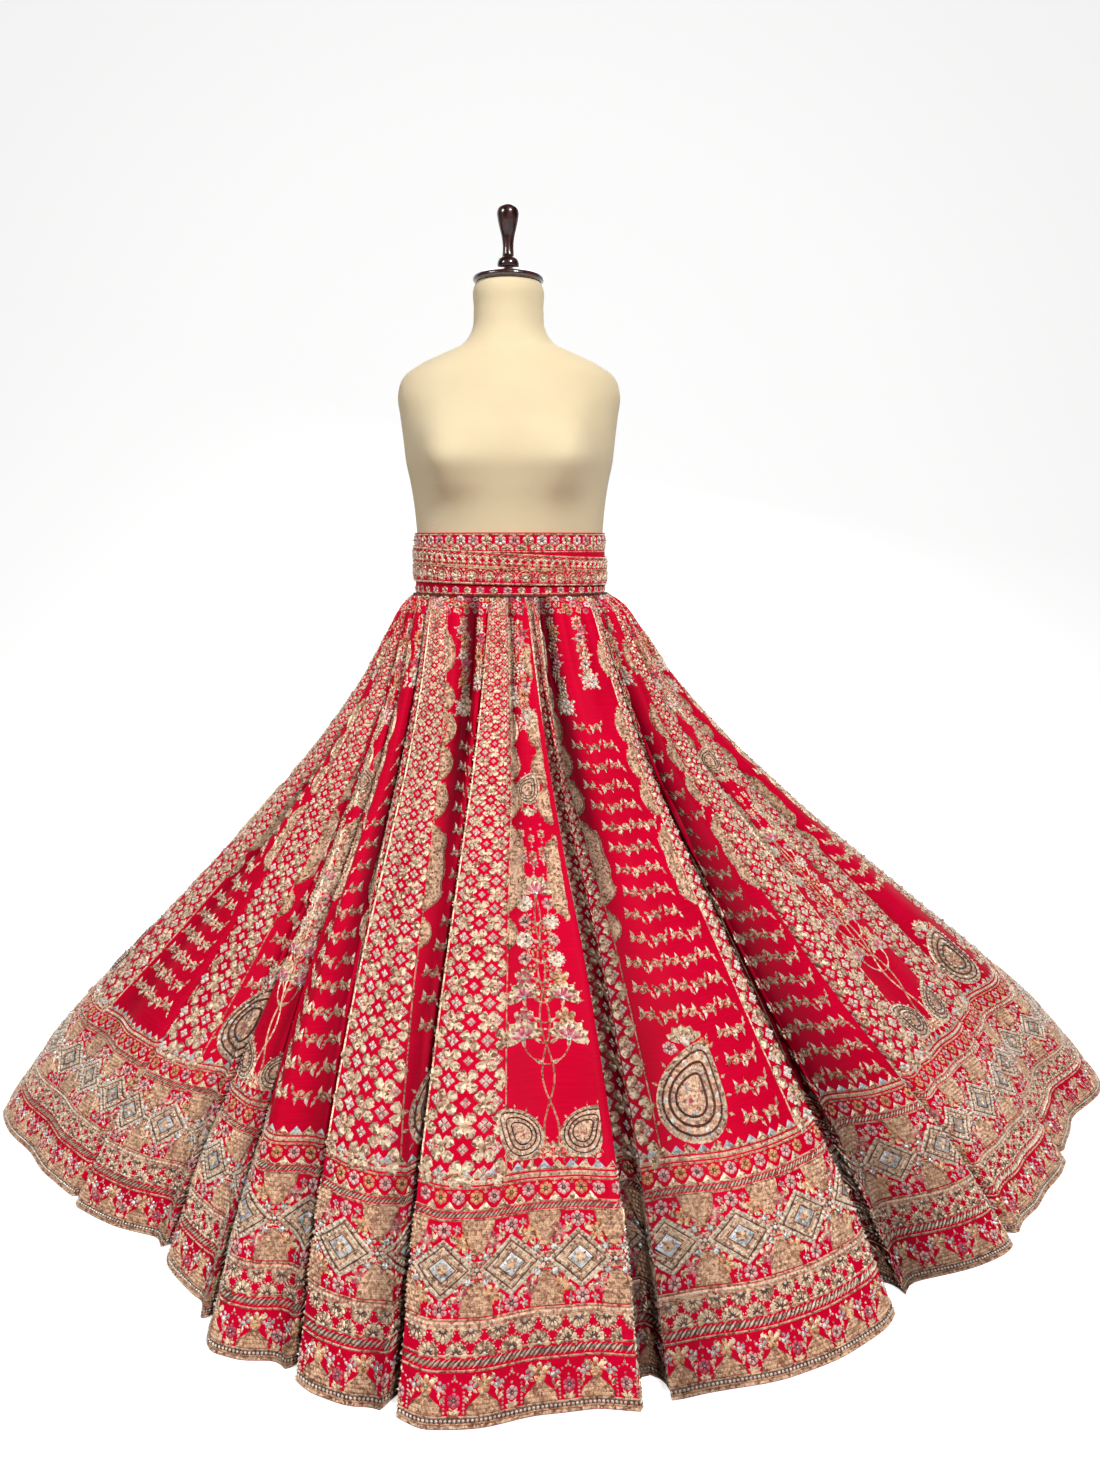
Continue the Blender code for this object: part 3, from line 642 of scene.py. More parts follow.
class Motif:
    """A little relief: points across, up and out of the cloth, faces, and threads."""

    def __init__(self, points, faces, thread):
        self.points = np.asarray(points, float).reshape(-1, 3)
        self.faces = np.asarray(faces, int).reshape(-1, 3)
        self.thread = np.broadcast_to(thread, len(self.faces)).copy()

    def put(self, x=0.0, y=0.0, turn=0.0, size=1.0, thread=None, lift=0.0):
        """The motif moved, turned, resized, in another thread, or lifted off the cloth."""
        c, s = math.cos(turn) * size, math.sin(turn) * size
        px, py, pz = self.points.T
        points = np.stack((x + px * c - py * s, y + px * s + py * c, pz * size + lift), axis=-1)
        return Motif(points, self.faces, self.thread if thread is None else thread)


def together(*motifs):
    starts = np.cumsum([0] + [len(m.points) for m in motifs[:-1]])
    return Motif(
        np.vstack([m.points for m in motifs]),
        np.vstack([m.faces + start for m, start in zip(motifs, starts)]),
        np.concatenate([m.thread for m in motifs]),
    )


def ringed(motif, count, radius=0.0, start=0.0):
    """Copies of a motif in a ring, each turned to face outwards."""
    turns = [start + 2.0 * math.pi * i / count for i in range(count)]
    return dotted(motif, radius, turns, turned_out=True)


def dotted(motif, radius, turns, turned_out=False):
    """Copies of a motif on an arc, at these angles from its middle."""
    return together(*(
        motif.put(radius * math.cos(a), radius * math.sin(a), a if turned_out else 0.0) for a in turns
    ))


def fanned(motif, *turns):
    """Copies of a motif spread out from one place, at these angles."""
    return together(*(motif.put(turn=a) for a in turns))


def arc(width, height, first=0.0, last=math.pi, count=9, down=0.0):
    """Points along an oval's edge, from one angle to another."""
    turns = np.linspace(first, last, count)
    return [(width * math.cos(a), height * math.sin(a) - down) for a in turns]


def around_middle(corners):
    """Faces that join a ring of this many points to the point after them."""
    return [(a, (a + 1) % corners, corners) for a in range(corners)]


def circle(radius, sides):
    turns = np.arange(sides) * 2.0 * math.pi / sides
    return radius * np.column_stack((np.cos(turns), np.sin(turns)))


def bead(radius, thread, high):
    low = np.column_stack((circle(radius, 6), np.full(6, -0.0003)))
    middle = np.column_stack((circle(0.8 * radius, 6), np.full(6, 0.6 * high * radius)))
    i = np.arange(6)
    j = np.roll(i, -1)
    corners = (i, j, 6 + j), (i, 6 + j, 6 + i), (6 + i, 6 + j, np.full(6, 12))
    faces = np.vstack([np.column_stack(three) for three in corners])
    return Motif(np.vstack((low, middle, (0.0, 0.0, high * radius))), faces, thread)


def seed(radius, thread, sides=4, high=1.0):
    """A small bead, as a low pointed dome."""
    low = np.column_stack((circle(radius, sides), np.full(sides, FOOT)))
    return Motif(np.vstack((low, (0.0, 0.0, high * radius))), around_middle(sides), thread)


def leaf(length, width, thread, rise=0.0010, base=0.0):
    half = 0.5 * width
    points = (
        (base, 0, 0), (base + 0.42 * length, -half, FOOT), (base + length, 0, 0),
        (base + 0.42 * length, half, FOOT), (base + 0.45 * length, 0, rise),
    )
    return Motif(points, around_middle(4), thread)


def petal(length, width, thread, rise, base=0.0):
    half, low, wide = 0.5 * width, base + 0.35 * length, base + 0.78 * length
    points = (
        (base, 0, 0), (low, -0.8 * half, FOOT), (wide, -half, FOOT), (base + length, 0, FOOT),
        (wide, half, FOOT), (low, 0.8 * half, FOOT), (base + 0.62 * length, 0, rise),
    )
    return Motif(points, around_middle(6), thread)


def flower(radius, petals, thread, heart, rise, plump):
    width = plump * 2.0 * math.pi * radius * 0.62 / petals
    # the dark discs under the petals and at the heart are partly a dark outline and partly painted shade
    # under the raised petals
    return together(
        disc(1.08 * radius, ANTIQUE_AND_SHADE, 2 * petals),
        ringed(petal(0.80 * radius, width, thread, rise, 0.20 * radius), petals, 0.0, math.pi / 2),
        disc(0.42 * radius, ANTIQUE_AND_SHADE, 5, rise * 1.1), seed(0.24 * radius, heart, 4, 2.4),
    )


def finer(outline, step):
    """A closed outline with points added until none are further apart than a step."""
    outline = np.asarray(outline, float)
    made = []
    for here, there in zip(outline, np.roll(outline, -1, axis=0)):
        parts = max(1, math.ceil(np.hypot(*(there - here)) / step))
        made += [here + (there - here) * i / parts for i in range(parts)]
    return np.array(made)


def strip(path, width, thread, rise=0.0010, closed=False):
    """A couched cord along a path, as a ridge."""
    path = np.asarray(path, float)
    if closed:
        ahead, behind = np.roll(path, -1, axis=0), np.roll(path, 1, axis=0)
    else:
        ahead, behind = np.vstack((path[1:], path[-1:])), np.vstack((path[:1], path[:-1]))
    run = ahead - behind
    run /= np.maximum(np.linalg.norm(run, axis=1, keepdims=True), 1e-9)
    out = np.column_stack((-run[:, 1], run[:, 0])) * 0.5 * width
    n = len(path)
    sunk = np.full(n, FOOT)
    rows = (path + out, sunk), (path, sunk + rise), (path - out, sunk)
    i = np.arange(n if closed else n - 1)
    j = (i + 1) % n
    faces = np.vstack((
        np.column_stack((i, i + n, j + n)), np.column_stack((i, j + n, j)),
        np.column_stack((i + n, i + 2 * n, j + 2 * n)), np.column_stack((i + n, j + 2 * n, j + n)),
    ))
    return Motif(np.vstack([np.column_stack(row) for row in rows]), faces, thread)


def ground(outline, thread, rise=0.0006, step=0.009):
    """A low cushion inside an outline, as the felt or net under the fine work; in the dark thread, a dark
    edge and painted shade round raised work.
    """
    rim = finer(outline, step)
    middle, n = rim.mean(axis=0), len(rim)
    rings = max(1, math.ceil(np.hypot(*(rim - middle).T).max() / step))
    shares = np.arange(rings, 0, -1) / rings
    points = [
        np.column_stack((middle + (rim - middle) * s, np.full(n, rise * math.sqrt(1.0 - s**3) + FOOT)))
        for s in shares
    ]
    faces = []
    for ring in range(rings):
        i = ring * n + np.arange(n)
        j = np.roll(i, -1)
        if ring < rings - 1:
            faces += [np.column_stack((i, j, j + n)), np.column_stack((i, j + n, i + n))]
        else:
            faces.append(np.column_stack((i, j, np.full(n, rings * n))))
    return Motif(np.vstack(points + [(*middle, rise + FOOT)]), np.vstack(faces), thread)


def disc(radius, thread, sides=8, rise=0.0004):
    return ground(circle(radius, sides), thread, rise, 2.0 * radius)


def basket(half_width, height, thread, cell, up=1.0):
    """Basket stitch: offset rows of raised stitches filling a shape whose half
    width is given by the share of its height."""
    motifs = []
    gap = 0.0001
    count = max(2, round(height / cell))
    for row in range(count):
        low, high = row / count, (row + 1) / count
        across = max(1, round(2.0 * half_width(0.5 * (low + high)) / cell))
        shift = (0.5 if row % 2 else -0.5) / across if across > 2 else 0.0
        edges = np.clip(np.linspace(-1, 1, across + 1) + shift, -1, 1)
        edges[0], edges[-1] = -1.0, 1.0
        y0, y1 = up * (low * height + gap), up * (high * height - gap)
        for left, right in zip(edges, edges[1:]):
            corners = np.array((
                (half_width(low) * left + gap, y0), (half_width(low) * right - gap, y0),
                (half_width(high) * right - gap, y1), (half_width(high) * left + gap, y1),
            ))[::int(up)]
            points = np.column_stack((corners, np.full(4, gap)))
            motifs.append(Motif(
                np.vstack((points, (*corners.mean(axis=0), 0.0020))), around_middle(4), thread
            ))
    return together(*motifs)


class Turned:
    """A kali's cloth counted from its right seam, for work laid the other way round."""

    def __init__(self, cloth):
        self.cloth = cloth
        self.travel, self.set_in, self.tucked = cloth.travel, cloth.set_in, cloth.tucked
        self.width, self.drop_at, self.length_at = cloth.width, cloth.drop_at, cloth.length_at

    def at(self, across, drop, rise):
        return self.cloth.at(1.0 - across, drop, rise)


class Needlework:
    """The embroidery of one piece of cloth, gathered before it is laid on it."""

    def __init__(self, cloth):
        self.cloth = cloth
        self.across, self.drop, self.rise, self.faces, self.thread = [], [], [], [], []
        self.count = 0

    def collect(self, across, drop, rise, faces, thread):
        self.across.append(across.ravel())
        self.drop.append(drop.ravel())
        self.rise.append(rise.ravel())
        self.faces.append(faces.reshape(-1, 3) + self.count)
        self.thread.append(thread.ravel())
        self.count += across.size

    def stamp(self, motif, across, drop, turn=0.0, size=1.0, stretch=1.0):
        """Sets copies of a motif at these places, all at once."""
        places = np.broadcast_arrays(np.atleast_1d(across), drop, turn, size)
        across, drop, turn, size = (np.array(v, float)[:, None] for v in places)
        if not across.size:
            return
        px, py, pz = motif.points.T
        c, s = np.cos(turn) * size, np.sin(turn) * size
        a = across + stretch * (px * c - py * s) / self.cloth.width(drop)
        t = self.cloth.drop_at(self.cloth.length_at(drop) - (px * s + py * c))
        copies = len(across)
        faces = motif.faces[None] + (np.arange(copies) * len(px))[:, None, None]
        self.collect(a, t, pz * size + 0.0 * a, faces, np.tile(motif.thread, copies))

    def cord(self, across, drop, width, thread, rise=0.0010):
        """A couched cord through these places of the cloth."""
        across, drop = np.broadcast_arrays(np.asarray(across, float), np.asarray(drop, float))
        wide = self.cloth.width(drop)
        x, y = across * wide, -self.cloth.length_at(drop)
        path = strip(np.column_stack((x, y)), width, thread, rise)
        px, py, pz = path.points.T
        a = np.tile(across, 3) + (px - np.tile(x, 3)) / np.tile(wide, 3)
        self.collect(a, self.cloth.drop_at(-py), pz, path.faces, path.thread)

    def lay(self, name):
        """Makes the piece: every point at its place on the cloth."""
        across, drop, rise = (np.concatenate(v) for v in (self.across, self.drop, self.rise))
        faces, thread = np.vstack(self.faces), np.concatenate(self.thread)
        # a motif that crosses a seam is worked up to it from either side
        on_cloth = ((across > 0.0) & (across < 1.0))[faces].any(axis=1)
        kept, faces = np.unique(faces[on_cloth], return_inverse=True)
        faces = faces.reshape(-1, 3)
        across, drop, rise = across[kept], drop[kept], rise[kept]
        used, thread = np.unique(thread[on_cloth], return_inverse=True)
        if isinstance(self.cloth, Turned):
            faces = faces[:, ::-1]
        points, painted_fold_shade = self.cloth.at(across, drop, rise)
        made = mesh_piece(name, points, [faces], [threads[i] for i in used], thread, shade_smooth=False)
        if painted_fold_shade is not None:
            keep_painted_fold_shade(made, painted_fold_shade)
        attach(made, "root")


def border_drop(share):
    return BORDER_TOP + (1.0 - BORDER_TOP) * share


def cells(work, drop, pitch, start=0.0):
    """Places at an even pitch across a kali, with room left beside its seams."""
    width = float(work.cloth.width(drop))
    count = max(1, round(width / pitch))
    margin = EDGE / width
    return margin + (np.arange(count) + 0.5 + start) / count * (1.0 - 2.0 * margin), count


def corner_square(half):
    """A square standing on its corner."""
    return [(half, 0), (0, half), (-half, 0), (0, -half)]


def square(half, width, thread, rise):
    return strip(finer(corner_square(half), 0.012), width, thread, rise, closed=True)


def pearls_round(half, count, radius):
    """Pearls along the four sides of a square standing on its corner."""
    corners = np.array(corner_square(half), float)
    pearl = seed(radius, PEARL, 5, 1.1)
    return together(*(
        pearl.put(*(here + (there - here) * (i / count)))
        for here, there in zip(corners, np.roll(corners, -1, axis=0)) for i in range(count)
    ))


# nested squares of beads and cord round a pale plate with a cross
diamond = together(
    ground(corner_square(0.0326), COPPER, 0.0008, 0.013),
    square(0.0286, 0.0058, GOLD, 0.0022), pearls_round(0.0290, 9, 0.0021).put(lift=0.0012),
    square(0.0247, 0.0022, ANTIQUE_AND_SHADE, 0.0014),
    square(0.0206, 0.0044, GOLD, 0.0022), pearls_round(0.0206, 6, 0.0019).put(lift=0.0010),
    square(0.0160, 0.0036, GOLD, 0.0022), square(0.0132, 0.0018, ANTIQUE_AND_SHADE, 0.0018),
    ground(corner_square(0.0118), ICE, 0.0012, 0.013).put(lift=0.0014),
    ground(corner_square(0.0072), STRAW, 0.0016, 0.013).put(lift=0.0020),
    ringed(leaf(0.0074, 0.0050, GOLD, 0.0026), 4, 0.0004, math.pi / 4).put(lift=0.0026),
    seed(0.0018, PEARL, 5, 2.9),
)


def cone_width(share):
    return 0.0172 * (1.0 - share**1.7) ** 0.8 + 0.0004


def side_by_side(half_width, height, steps, up=1.0):
    """An outline up one side of a shape and down the other."""
    left = [(-half_width(s), up * height * s) for s in np.linspace(0, 1, steps)]
    return left + [(-x, y) for x, y in reversed(left)]


def cone(up):
    """A basket-stitch cone; up is 1 for one that stands and -1 for one that hangs."""
    outline = side_by_side(lambda share: cone_width(share) + 0.0020, 0.0345, 6, up)
    # the dark ground round the cone is partly its dark outline and partly painted shade under its raised
    # edge
    return together(
        ground(outline[::int(-up)], ANTIQUE_AND_SHADE, 0.0008),
        basket(cone_width, 0.0322, STRAW, 0.0048, up).put(lift=0.0006),
        strip(side_by_side(cone_width, 0.0330, 8, up), 0.0020, GOLD, 0.0024),
    )


# silver clusters and rosettes sit on dark discs, partly a dark outline and partly painted shade under their
# raised petals
silver_cluster = together(
    disc(0.0084, ANTIQUE_AND_SHADE), ringed(petal(0.0052, 0.0044, GOLD, 0.0014, 0.0024), 6),
    bead(0.0040, SILVER, 0.8),
    seed(0.0018, PEARL, 5, 1.2).put(0.0056, 0.0042), seed(0.0018, ICE, 5, 1.2).put(-0.0050, -0.0048),
)
rosette = together(
    disc(0.0078, ANTIQUE_AND_SHADE), ringed(petal(0.0052, 0.0042, GOLD, 0.0012, 0.0016), 6),
    ringed(seed(0.0011, PEARL), 6, 0.0052, 0.5), bead(0.0018, PEARL, 1.0),
)
spray = together(fanned(leaf(0.0085, 0.0046, GOLD, 0.0011), 0.5, -0.5), leaf(0.0100, 0.0050, GOLD, 0.0013))


def seeded_flower(radius, thread, seeds, seed_radius, plump):
    """A six-petalled flower with a ring of small seeds."""
    return together(
        flower(radius, 6, thread, GOLD, 0.0018, plump), ringed(seed(0.0009, seeds), 6, seed_radius, 0.5)
    )


def bloom(thread):
    """An open flower with gold inner petals, half in a ruff of gold leaves."""
    # the dark disc under the bloom is partly a dark outline and partly painted shade under its raised
    # petals
    return together(
        disc(0.0094, ANTIQUE_AND_SHADE), fanned(petal(0.0094, 0.0064, GOLD, 0.0012, 0.0012), 0.55, 1.57, 2.60),
        ringed(petal(0.0070, 0.0062, thread, 0.0016, 0.0012), 5, 0.0, 0.3),
        ringed(leaf(0.0050, 0.0038, GOLD, 0.0024, 0.0004), 5, 0.0, 0.9), seed(0.0019, PEARL, 6, 1.6),
    )


orange_bloom = bloom(ORANGE)
rose_bloom = bloom(PINK)
pink_flower = seeded_flower(0.0082, BLUSH, PINK, 0.0038, 1.1)
small_flower_pink = seeded_flower(0.0074, BLUSH, PINK, 0.0033, 1.15)
small_flower_orange = seeded_flower(0.0074, ORANGE, COPPER, 0.0033, 1.15)
sprig = together(
    leaf(0.0046, 0.0026, GOLD, 0.0008).put(turn=1.57),
    fanned(leaf(0.0036, 0.0022, GOLD, 0.0008), 0.7, 2.44),
)
cusp = Motif(
    [(-0.0078, -0.0044, 0), (0.0078, -0.0044, 0), (0, 0.0046, 0), (0, -0.0016, 0.0010)],
    around_middle(3), GOLD,
)
peak = Motif(
    [(-0.0074, 0, 0), (0.0074, 0, 0), (0, 0.0082, 0), (0, 0.0030, 0.0014)], around_middle(3), GOLD,
)
stroke = together(
    leaf(0.0104, 0.0024, PEARL, 0.0022).put(-0.0030, -0.0036, 0.75),
    leaf(0.0104, 0.0026, GOLD, 0.0022).put(0.0014, -0.0036, 0.75),
)
# the dark ground under the fan is partly a dark outline and partly painted shade under its raised petals
fan = together(
    ground(arc(0.0138, 0.0138, -0.1, math.pi + 0.1, down=0.0010), ANTIQUE_AND_SHADE, 0.0007),
    fanned(petal(0.0104, 0.0062, GOLD, 0.0022, 0.0022), *np.radians((-4, 27, 58, 90, 122, 153, 184))),
    dotted(seed(0.0012, PEARL, 4, 1.3), 0.0124, np.radians((12, 43, 74, 106, 137, 168))),
    seed(0.0026, PEARL, 6, 1.1),
)


def dome_width(share):
    return 0.0155 * math.sqrt(1.0 - share**1.6) * (1.0 - 0.72 * float(smooth((share - 0.3) / 0.6))) + 0.0008


# the dark ground round the dome is partly its dark outline and partly painted shade under its raised edge
dome = together(
    ground(side_by_side(lambda share: dome_width(share) + 0.0018, 0.0205, 6)[::-1], ANTIQUE_AND_SHADE, 0.0008),
    basket(dome_width, 0.0190, STRAW, 0.0040).put(lift=0.0005),
    strip(side_by_side(dome_width, 0.0195, 8), 0.0016, GOLD, 0.0016),
    fanned(leaf(0.0090, 0.0044, GOLD, 0.0013), 0.8, 2.34).put(0, 0.0165),
)
silver_drop = together(
    seed(0.0030, SILVER, 6, 0.9), seed(0.0023, ICE, 6, 0.9).put(0.0044, 0.0022),
    seed(0.0021, SILVER, 5, 0.9).put(0.0006, 0.0048), seed(0.0020, PEARL, 5, 1.1).put(-0.0040, 0.0020),
    leaf(0.0062, 0.0036, GOLD).put(0, -0.002, -1.57), leaf(0.0058, 0.0036, GOLD).put(0.002, -0.0005, -0.6),
)


def arch(inner):
    """A beaded arch on a fan of leaves, with a flower in it."""
    half, spring = 0.0098, 0.0190
    dots = [(x, y) for x in (-half, half) for y in np.linspace(0.0020, spring, 6)]
    dots += arc(half, half, count=8, down=-spring)[1:-1]
    return together(
        *(seed(0.0014, BLUSH, 5, 1.2).put(x, y) for x, y in dots), inner.put(0, 0.0125),
        fanned(leaf(0.0080, 0.0044, GOLD, 0.0014), 0.45, 1.0, 2.14, 2.69).put(0, 0.0002),
        leaf(0.0060, 0.0036, GOLD).put(0, 0.0285, 1.57), seed(0.0016, GOLD, 5, 1.2).put(0, 0.0215),
    )


ARCHES = (arch(small_flower_pink.put(size=0.88)), arch(flower(0.0068, 6, PINK, PEARL, 0.0016, 1.1)))
pearl = seed(0.0019, PEARL, 5, 1.3)
large_pearl = seed(0.0021, PEARL, 5, 1.2)
side_leaf = leaf(0.0085, 0.0050, GOLD, 0.0014)


def hem_border(work):
    """All the rows of a kali's border, each placed by its share of the border's depth."""

    def line(share, width, thread, rise):
        drop = border_drop(share)
        margin = 0.1 * EDGE / float(work.cloth.width(drop))
        work.cord(np.linspace(margin, 1.0 - margin, COLUMNS + 1), drop, width, thread, rise)

    def row(motif, share, pitch, every=1, first=0, turn=0.0, size=1.0, start=0.0):
        places, _ = cells(work, border_drop(share), pitch, start)
        work.stamp(motif, places[first::every], border_drop(share), turn, size)

    def corded(above, share, below, ground_width, motif, pitch, size=1.0, padded=False):
        """A row of stitches or pearls between two gold cords."""
        # the dark strip under each corded row is partly a dark ground and partly painted shade between the
        # raised cords
        line(share, ground_width, ANTIQUE_AND_SHADE, 0.0003)
        line(above, 0.0026, GOLD, 0.0018)
        if padded:
            line(share, 0.0062, COPPER, 0.0008)
        row(motif, share, pitch, size=size)
        line(below, 0.0026, GOLD, 0.0018)

    # points above the border, gold and pale blue in turn, over a row of pearls
    for first, point in enumerate((peak, peak.put(thread=ICE))):
        row(point, -0.004, 0.0150, 2, first)
    corded(0.000, 0.022, 0.044, 0.0120, pearl, 0.0043, padded=True)
    # small flowers, pink and orange in turn, sprigs between and cusps under them
    for first, small_flower in enumerate((small_flower_pink, small_flower_orange)):
        row(small_flower, 0.083, 0.0193, 2, first)
    places, count = cells(work, border_drop(0.083), 0.0193)
    between = 0.5 * (places[1:] + places[:-1])
    work.stamp(sprig, between, border_drop(0.066))
    work.stamp(cusp, between, border_drop(0.116))
    corded(0.135, 0.154, 0.174, 0.0110, stroke, 0.0088)
    # the main band: diamonds, cones hanging and standing between them, and flowers
    middle = border_drop(0.372)
    width = float(work.cloth.width(middle))
    places, count = cells(work, middle, 0.074)
    between = np.arange(count + 1) / count
    ease = float(np.clip(width / count / 0.0765, 0.92, 1.25))
    work.stamp(diamond, places, middle, 0.0, 0.92, 1.25 * ease)
    for share in (0.215, 0.528):
        work.stamp(pink_flower, places, border_drop(share))
    for up, share in ((-1.0, 0.178), (1.0, 0.560)):
        work.stamp(cone(up), between, border_drop(share), 0.0, 1.0, ease)
    work.stamp(rosette, between, middle, 0.0, 1.35)
    for dx in (-0.0090, 0.0090):
        for share in (0.323, 0.421):
            work.stamp(silver_cluster, between + dx / width, border_drop(share))
    for side in (-1.0, 1.0):
        dx = side * 0.0215 * ease / width
        for open_flower, share in ((orange_bloom, 0.262), (rose_bloom, 0.482)):
            at = border_drop(share if side > 0 else 0.743 - share)
            low = (share > 0.37) == (side > 0)
            work.stamp(open_flower, places + dx, at, side * (0.7 if low else 2.4), 1.12)
            leaning = math.pi * (side < 0) + side * (-1.1 if low else 1.1)
            work.stamp(spray, places + 0.40 * dx, at, leaning)
        for share in (0.322, 0.422):
            work.stamp(large_pearl, places + 0.86 * dx, border_drop(share))
        for share in (0.214, 0.540):
            work.stamp(silver_drop, places + 0.62 * dx, border_drop(share), 0.0, 0.7)
    corded(0.570, 0.588, 0.606, 0.0115, seed(0.0020, PEARL, 5, 1.3), 0.0046, padded=True)
    # two rows of fans, one hanging and one standing, on a zigzag, over roping
    row(fan, 0.612, 0.0270, turn=math.pi, size=0.98)
    row(fan, 0.712, 0.0270, start=0.5, size=0.98)
    row(seed(0.0014, PEARL, 4, 1.3), 0.662, 0.0135)
    corded(0.716, 0.745, 0.776, 0.0150, stroke, 0.0104, 1.25)
    # domes and beaded arches over the edge
    foot = border_drop(0.948)
    width = float(work.cloth.width(foot))
    places, count = cells(work, foot, 0.052)
    work.stamp(dome, places, foot)
    work.stamp(orange_bloom, places, border_drop(0.834), 0.0, 0.98)
    for side in (-1.0, 1.0):
        beside = side / width
        work.stamp(silver_drop, places + 0.0135 * beside, border_drop(0.846), 0.0, 1.1)
        work.stamp(spray, places + 0.0120 * beside, border_drop(0.812), 1.57 + side * 1.2, 0.75)
        work.stamp(side_leaf, places + 0.0150 * beside, border_drop(0.905), 1.57 - side * 0.5)
    for first, beaded in enumerate(ARCHES):
        work.stamp(beaded, (np.arange(count + 1) / count)[first::2], foot)
    line(0.955, 0.0022, GOLD, 0.0018)
    # the dark strip under the pearls is partly a dark ground and partly painted shade between them
    line(0.970, 0.0060, ANTIQUE_AND_SHADE, 0.0004)
    row(pearl, 0.970, 0.0044)
    line(0.983, 0.0024, COPPER, 0.0018)
    line(0.995, 0.0030, GOLD, 0.0018)


for number, cloth in enumerate(kali_cloths):
    work = Needlework(cloth)
    hem_border(work)
    work.lay(f"kali_{number + 1:02d}_hem_border")

# ---- embroidery: lattice stripes and their scalloped edges --------------------------
# A net of broad gold leaves is couched down the left of every kali, widening with
# it: four leaves to a knot, bound in pink where two tips meet, with a little bead
# flower in each crimson diamond. Padded gold scallops stand out past its cords.
LATTICE_TOP = 0.024         # its width at the waist, and what it gains down to the hem
LATTICE_SPREAD = 0.092
LATTICE_FOOT = BORDER_TOP - 0.003
LATTICE_INSET = EDGE + 0.001
SET_IN = {11: 0.030}        # where a deep fold would swallow the stripe


def lattice_width(t):
    return LATTICE_TOP + LATTICE_SPREAD * t


# these five are 1 long, for half a diamond's side
net_leaf = petal(0.98, 0.82, GOLD, 0.15, 0.03)
net_tie = together(
    leaf(0.58, 0.17, BLUSH, 0.17).put(-0.09, -0.28, math.pi / 2),
    leaf(0.58, 0.13, ANTIQUE_AND_SHADE, 0.15).put(0.11, -0.28, math.pi / 2),
)
net_knot = seed(0.18, GOLD, 4, 1.1)
net_flower = together(
    dotted(seed(0.120, PEARL, 4, 1.1), 0.15, (0.0, 1.57, 3.14, 4.71)), seed(0.09, SILVER, 4, 1.6)
)


def lattice(work):
    """Five lines of knots down the stripe, with leaves, ties and flowers between."""
    cloth = work.cloth
    # knots stand half a diamond apart down the stripe, wider as it widens
    down = np.linspace(0.010, cloth.length_at(LATTICE_FOOT), 400)
    half = 0.275 * lattice_width(cloth.drop_at(down))
    counted = np.concatenate(([0.0], np.cumsum(np.diff(down) / (0.5 * (half[1:] + half[:-1])))))
    count = int(round(counted[-1] / 2.0)) * 2
    level = np.interp(np.linspace(0.0, counted[-1], count + 1), counted, down)
    step_down = np.gradient(level)
    for line in range(5):
        for first, knots in ((line % 2, True), (1 - line % 2, False)):
            j = np.arange(first, count + 1, 2)
            t = cloth.drop_at(level[j])
            wide, width = lattice_width(t), cloth.width(t)
            a = (LATTICE_INSET + cloth.set_in * t + wide * (0.25 * line)) / width
            dx, dy = 0.25 * wide, step_down[j]
            reach = np.hypot(dx, dy)
            if not knots:
                push = {0: 0.35, 4: -0.35}.get(line, 0.0) * dx / width
                work.stamp(net_flower, a + push, t, 0.0, reach * (0.95 if line % 2 else 0.70))
                continue
            work.stamp(net_knot, a, t, 0.0, reach * 0.8)
            for right in (1.0, -1.0):
                if line == (4 if right > 0 else 0):
                    continue
                turns = [np.arctan2(up * dy, right * dx) for up in (1.0, -1.0)]
                for turn in turns:
                    work.stamp(net_leaf, a, t, turn, reach * 0.49)
                if right > 0:
                    at = a + 0.5 * dx / width
                    for turn, up, tied in zip(turns, (1.0, -1.0), (j > 0, j < count)):
                        to = cloth.drop_at(level[j] - up * 0.5 * dy)
                        work.stamp(net_tie, at[tied], to[tied], turn[tied], reach[tied] * 0.42)
    t = np.linspace(cloth.drop_at(0.006), LATTICE_FOOT, 40)
    for beside in (EDGE + 0.0004, LATTICE_INSET + 0.0016 + lattice_width(t)):
        work.cord((beside + cloth.set_in * t) / cloth.width(t), t, 0.0020, GOLD, 0.0018)


LONG_SCALLOP = 0.08         # longer ones are waved and have a nick
# scallops: start down the kali, length and width
SCALLOPS_RIGHT = (
    (0.062, 0.060, 0.011), (0.140, 0.040, 0.011), (0.182, 0.050, 0.016), (0.234, 0.048, 0.016),
    (0.286, 0.052, 0.014), (0.350, 0.114, 0.020), (0.476, 0.036, 0.011),
)
SCALLOPS_LEFT = (
    (0.080, 0.050, 0.010), (0.182, 0.054, 0.015), (0.238, 0.050, 0.016), (0.292, 0.052, 0.016),
    (0.362, 0.114, 0.020),
)


def scallop_edge(share, length):
    """How far a scallop stands out along its length, as a share of its width."""
    if length < LONG_SCALLOP:
        return np.sin(np.pi * np.clip(share, 0.0, 1.0)) ** 0.55
    ends = np.clip(np.minimum(share / 0.22, (1.0 - share) / 0.20), 0.0, 1.0)
    point = np.clip(1.0 - np.abs(share - 0.60) / 0.05, 0.0, 1.0)
    waves = 0.80 + 0.12 * np.sin(3.0 * np.pi * share) ** 2 + 0.14 * point
    return np.sin(0.5 * np.pi * ends) ** 0.8 * waves


grain_leaf = leaf(0.0070, 0.0044, GOLD, 0.0028)
grain_bead = seed(0.0018, PEARL, 5, 1.1)


